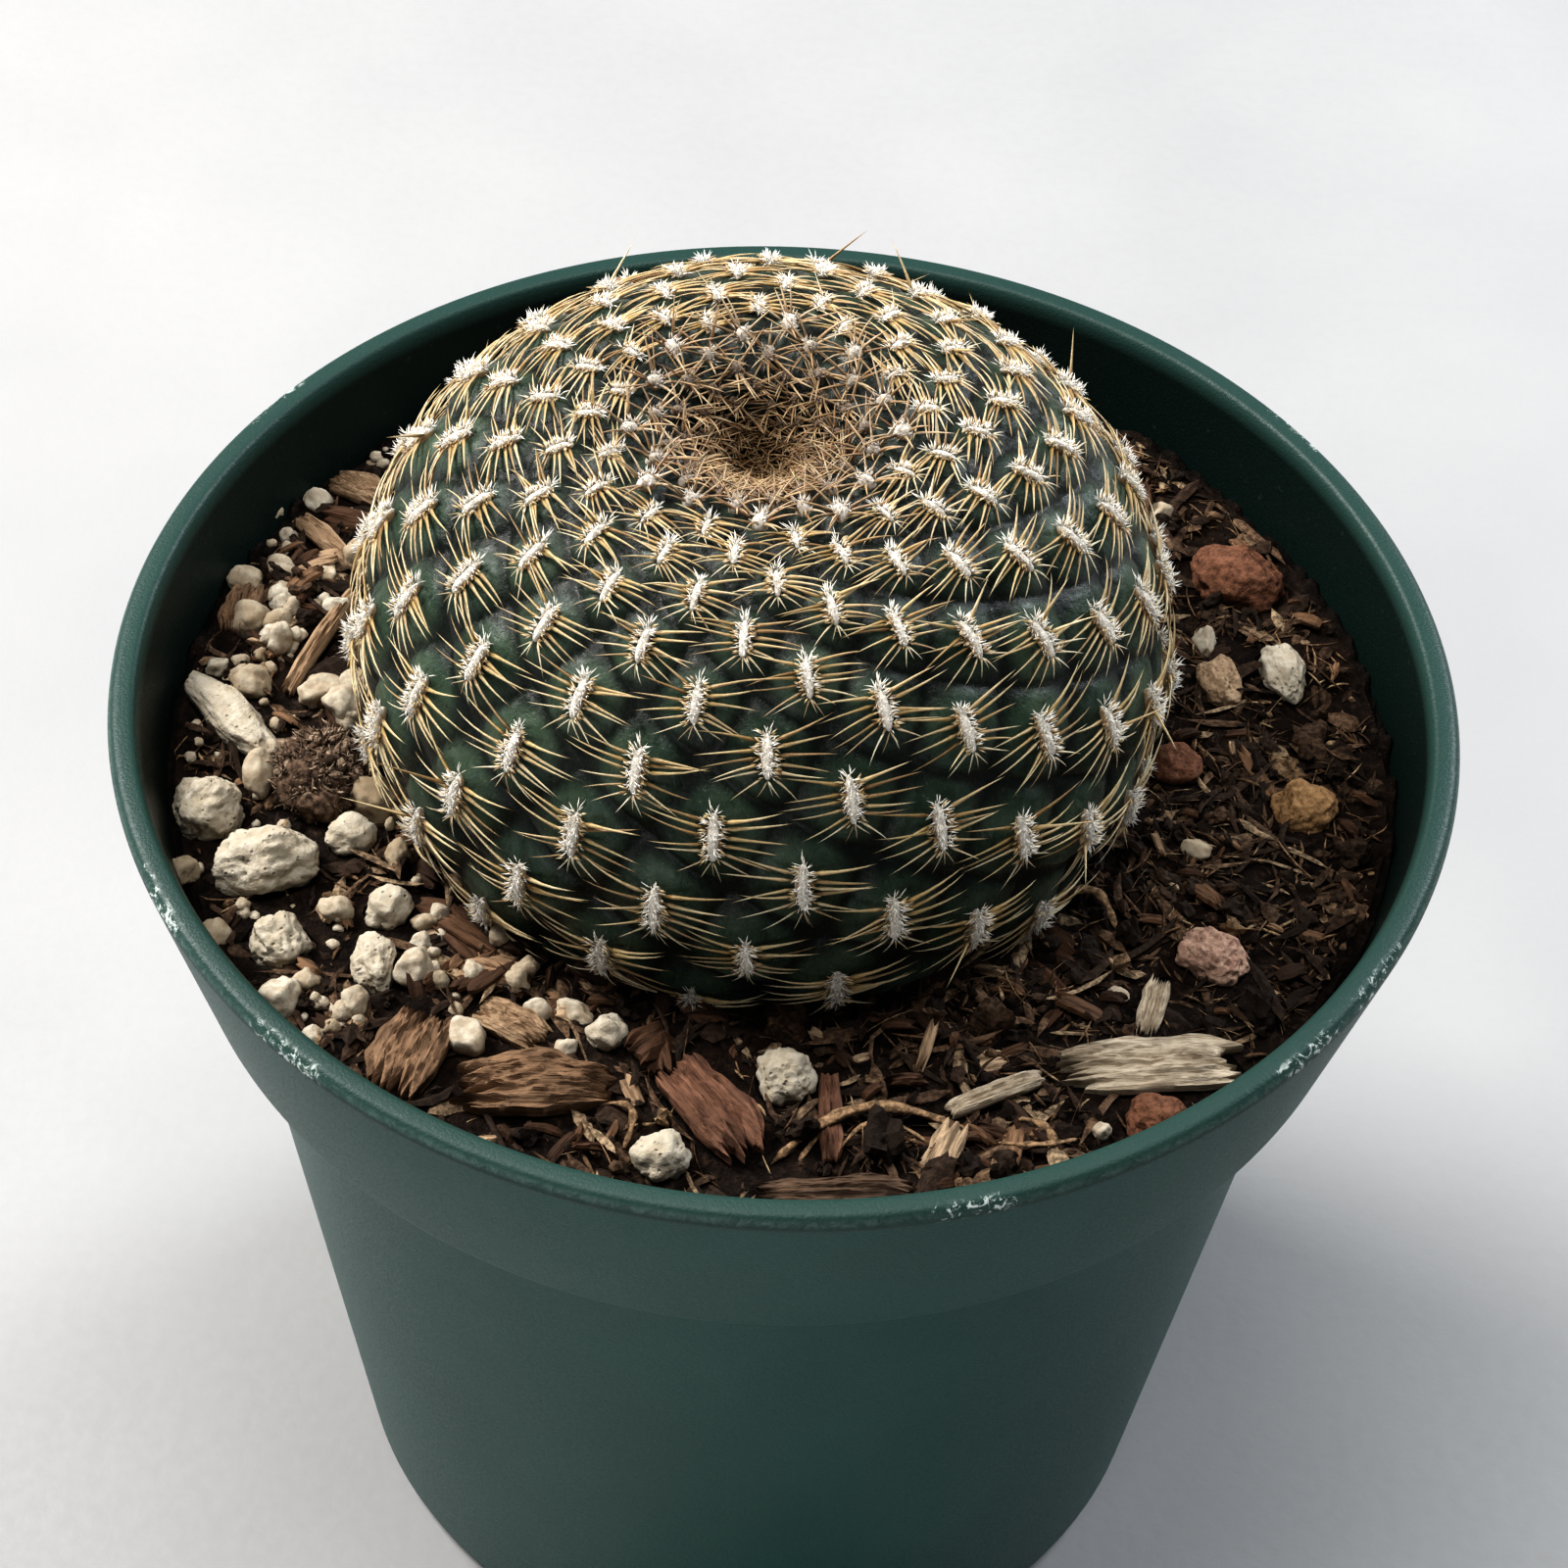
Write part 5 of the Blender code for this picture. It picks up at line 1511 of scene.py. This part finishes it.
def build_plant():
    """The plant's body in the place of the cactus node, with its spines, bristles and felt."""
    straw = spine_finish("spine_straw", (0.24, 0.14, 0.045), (0.40, 0.29, 0.12), (0.55, 0.45, 0.26))
    brown = spine_finish("spine_brown", (0.060, 0.030, 0.014), (0.21, 0.135, 0.066), (0.42, 0.31, 0.18))
    fringe = spine_finish("spine_fringe", (0.34, 0.20, 0.075), (0.54, 0.38, 0.17), (0.66, 0.50, 0.27))
    body = build_body(flesh_finish())
    extras = (
        (build_grown_spines(straw), "spine_straw"),
        (build_crown_spines(brown), "spine_straw"),
        (build_bristles(fringe), "spine_straw"),
        (build_felt(felt_finish()), "areole_felt"),
        (build_hairs(hair_finish()), "areole_felt"),
    )
    for piece in [body] + [piece for piece, _ in extras]:
        piece.location = PLANT_CENTRE
        piece.rotation_euler = PLANT_LEAN
    stand(body, "cactus_flesh", "cactus")
    for piece, material_slot in extras:
        stand(piece, material_slot)


def build_mix():
    """A finish for the mix's own node, and all that lies on it without a node."""
    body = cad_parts["potting_mix"].data
    body.materials.clear()
    body.materials.append(mix_finish("mix_body"))
    peat_tones = (
        (0.0, (0.010, 0.006, 0.004)),
        (0.45, (0.032, 0.020, 0.013)),
        (0.80, (0.10, 0.060, 0.036)),
        (1.0, (0.28, 0.18, 0.10)),
    )
    fibre_tones = (
        (0.0, (0.05, 0.027, 0.015)),
        (0.5, (0.14, 0.08, 0.042)),
        (0.85, (0.32, 0.20, 0.11)),
        (1.0, (0.52, 0.38, 0.22)),
    )
    shred_tones = (
        (0.0, (0.014, 0.009, 0.006)),
        (0.40, (0.050, 0.029, 0.018)),
        (0.75, (0.14, 0.084, 0.050)),
        (1.0, (0.40, 0.29, 0.18)),
    )
    grit_tones = ((0.0, (0.29, 0.235, 0.16)), (0.4, (0.44, 0.385, 0.30)), (1.0, (0.51, 0.47, 0.39)))
    stand(build_crust(mix_finish("mix_top", "depth")), "potting_mix")
    crumb = tinted_finish("crumb", peat_tones, 0.5 * MM)
    stand(build_grains("mix_crumbs", crumb, 22, CRUMBS, (0.6, 1.25), 0.35, 1.5, False), "potting_mix")
    stand(build_fibres(tinted_finish("fibre", fibre_tones, 0.6 * MM)), "potting_mix")
    stand(build_shreds(tinted_finish("shred", shred_tones, 0.5 * MM)), "bark_brown")
    stand(build_strands(tinted_finish("strand", fibre_tones, 0.5 * MM)), "bark_brown")
    stand(build_chips(splinter_finish()), "bark_brown")
    stained = (0.22, 0.15, 0.085)
    grit = tinted_finish("grit", grit_tones, 0.5 * MM, stained, 0.5)
    stand(build_grains("mix_grit", grit, 23, GRIT, (0.8, 1.15), 0.30, 1.0, True), "perlite_white")
    grains = build_small_perlite(tinted_finish("small_perlite", grit_tones, 1.1 * MM, stained, 0.55))
    stand(grains, "perlite_white")


def build_dressing():
    """Each loose piece in the place of its CAD node."""
    puff = perlite_finish()
    woods = {name: wood_finish("wood_" + name, *tones) for name, tones in WOODS.items()}
    stones = {name: stone_finish("stone_" + name, *tones) for name, tones in STONES.items()}
    for index, piece in enumerate(PERLITE, 1):
        knobby = 0.9 if piece.length > 2.0 * piece.width else 1.3
        grain = build_lump(f"perlite_grain_{index}", piece, index, knobby, puff)
        stand(grain, "perlite_white", f"perlite_{index}")
    for index, piece in enumerate(CLAY, 1):
        lump = build_lump(f"clay_lump_{index}", piece, 20 + index, 1.2, stones[piece.tone])
        stand(lump, "clay_brown", f"clay_{index}")
    for index, piece in enumerate(BARK, 1):
        flake = build_flake(f"bark_flake_{index}", piece, index, woods[piece.tone], BARK_COLUMNS, 0.4, 0.30)
        stand(flake, "bark_brown", f"bark_{index}")
    for index, piece in enumerate(STICKS, 1):
        wood = woods[piece.tone]
        splinter = build_flake(f"splinter_{index}", piece, 30 + index, wood, STICK_COLUMNS, 0.25, 0.10)
        stand(splinter, "bark_brown", f"stick_{index}")
    ball_tones = ((0.0, (0.026, 0.016, 0.011)), (0.4, (0.13, 0.082, 0.054)), (1.0, (0.48, 0.36, 0.26)))
    stand(build_peat_ball(tinted_finish("peat_ball", ball_tones, 0.5 * MM)), "peat_dark", "peat_clump")


# Camera and light

CAMERA_PLACE = Vector((0.0, -0.23237263, 0.32723569))
CAMERA_FORWARD = Vector((0.00060775, 0.67874939, -0.73436973))
CAMERA_RIGHT = Vector((0.99857907, 0.03872027, 0.03661405))
CAMERA_LENS = 97.538
SENSOR = 36.0

TABLE_REACH = 6.0
TABLE_LEVEL = -0.05 * MM
SKY_COLOUR = (0.95, 0.97, 1.0, 1.0)
SKY_STRENGTH = 0.27
EXPOSURE = -0.6

# Name, place, diameter, power in watts and colour of each light
LIGHTS = (
    ("window_left", (-0.50, 0.25, 0.60), 0.30, 14.8, (1.0, 0.98, 0.95)),
    ("window_right", (0.52, 0.42, 0.46), 0.28, 7.3, (0.88, 0.94, 1.0)),
    ("overhead", (-0.05, 0.02, 0.85), 0.40, 5.7, (1.0, 0.99, 0.97)),
    ("front_fill", (-0.30, -0.80, 0.10), 0.70, 3.8, (1.0, 1.0, 1.0)),
)


def build_camera():
    """The photograph's camera."""
    camera = bpy.data.objects.new("camera", bpy.data.cameras.new("camera"))
    camera.data.lens = CAMERA_LENS
    camera.data.sensor_width = SENSOR
    camera.data.clip_start = 0.01
    up = CAMERA_RIGHT.cross(CAMERA_FORWARD)
    turn = Matrix((CAMERA_RIGHT, up, -CAMERA_FORWARD)).transposed()
    camera.matrix_world = Matrix.Translation(CAMERA_PLACE) @ turn.to_4x4()
    bpy.context.scene.collection.objects.link(camera)
    bpy.context.scene.camera = camera


def area_light(name, place, size, power, colour):
    """A round light that faces the pot's rim."""
    light = bpy.data.objects.new(name, bpy.data.lights.new(name, "AREA"))
    light.data.shape = "DISK"
    light.data.size = size
    light.data.energy = power
    light.data.color = colour
    light.location = place
    aim = Vector((0.0, 0.0, POT_HEIGHT)) - Vector(place)
    light.rotation_euler = aim.to_track_quat("-Z", "Y").to_euler()
    bpy.context.scene.collection.objects.link(light)


def build_studio():
    """The plain floor, the sky, the lights and how the picture is developed."""
    corners = [(x, y, TABLE_LEVEL) for x, y in ((-1, -1), (1, -1), (1, 1), (-1, 1))]
    corners = np.array(corners) * [TABLE_REACH, TABLE_REACH, 1.0]
    solid("studio_floor", floor_finish(), corners, np.array([[0, 1, 2], [0, 2, 3]]))
    world = bpy.data.worlds.new("studio")
    world.use_nodes = True
    background = world.node_tree.nodes["Background"]
    background.inputs["Color"].default_value = SKY_COLOUR
    background.inputs["Strength"].default_value = SKY_STRENGTH
    scene = bpy.context.scene
    scene.world = world
    scene.view_settings.view_transform = "Standard"
    scene.view_settings.look = "Medium High Contrast"
    scene.view_settings.exposure = EXPOSURE
    for light in LIGHTS:
        area_light(*light)


build_camera()
build_studio()
stand(build_pot(pot_finish()), "pot_green", "pot")
build_plant()
build_mix()
build_dressing()
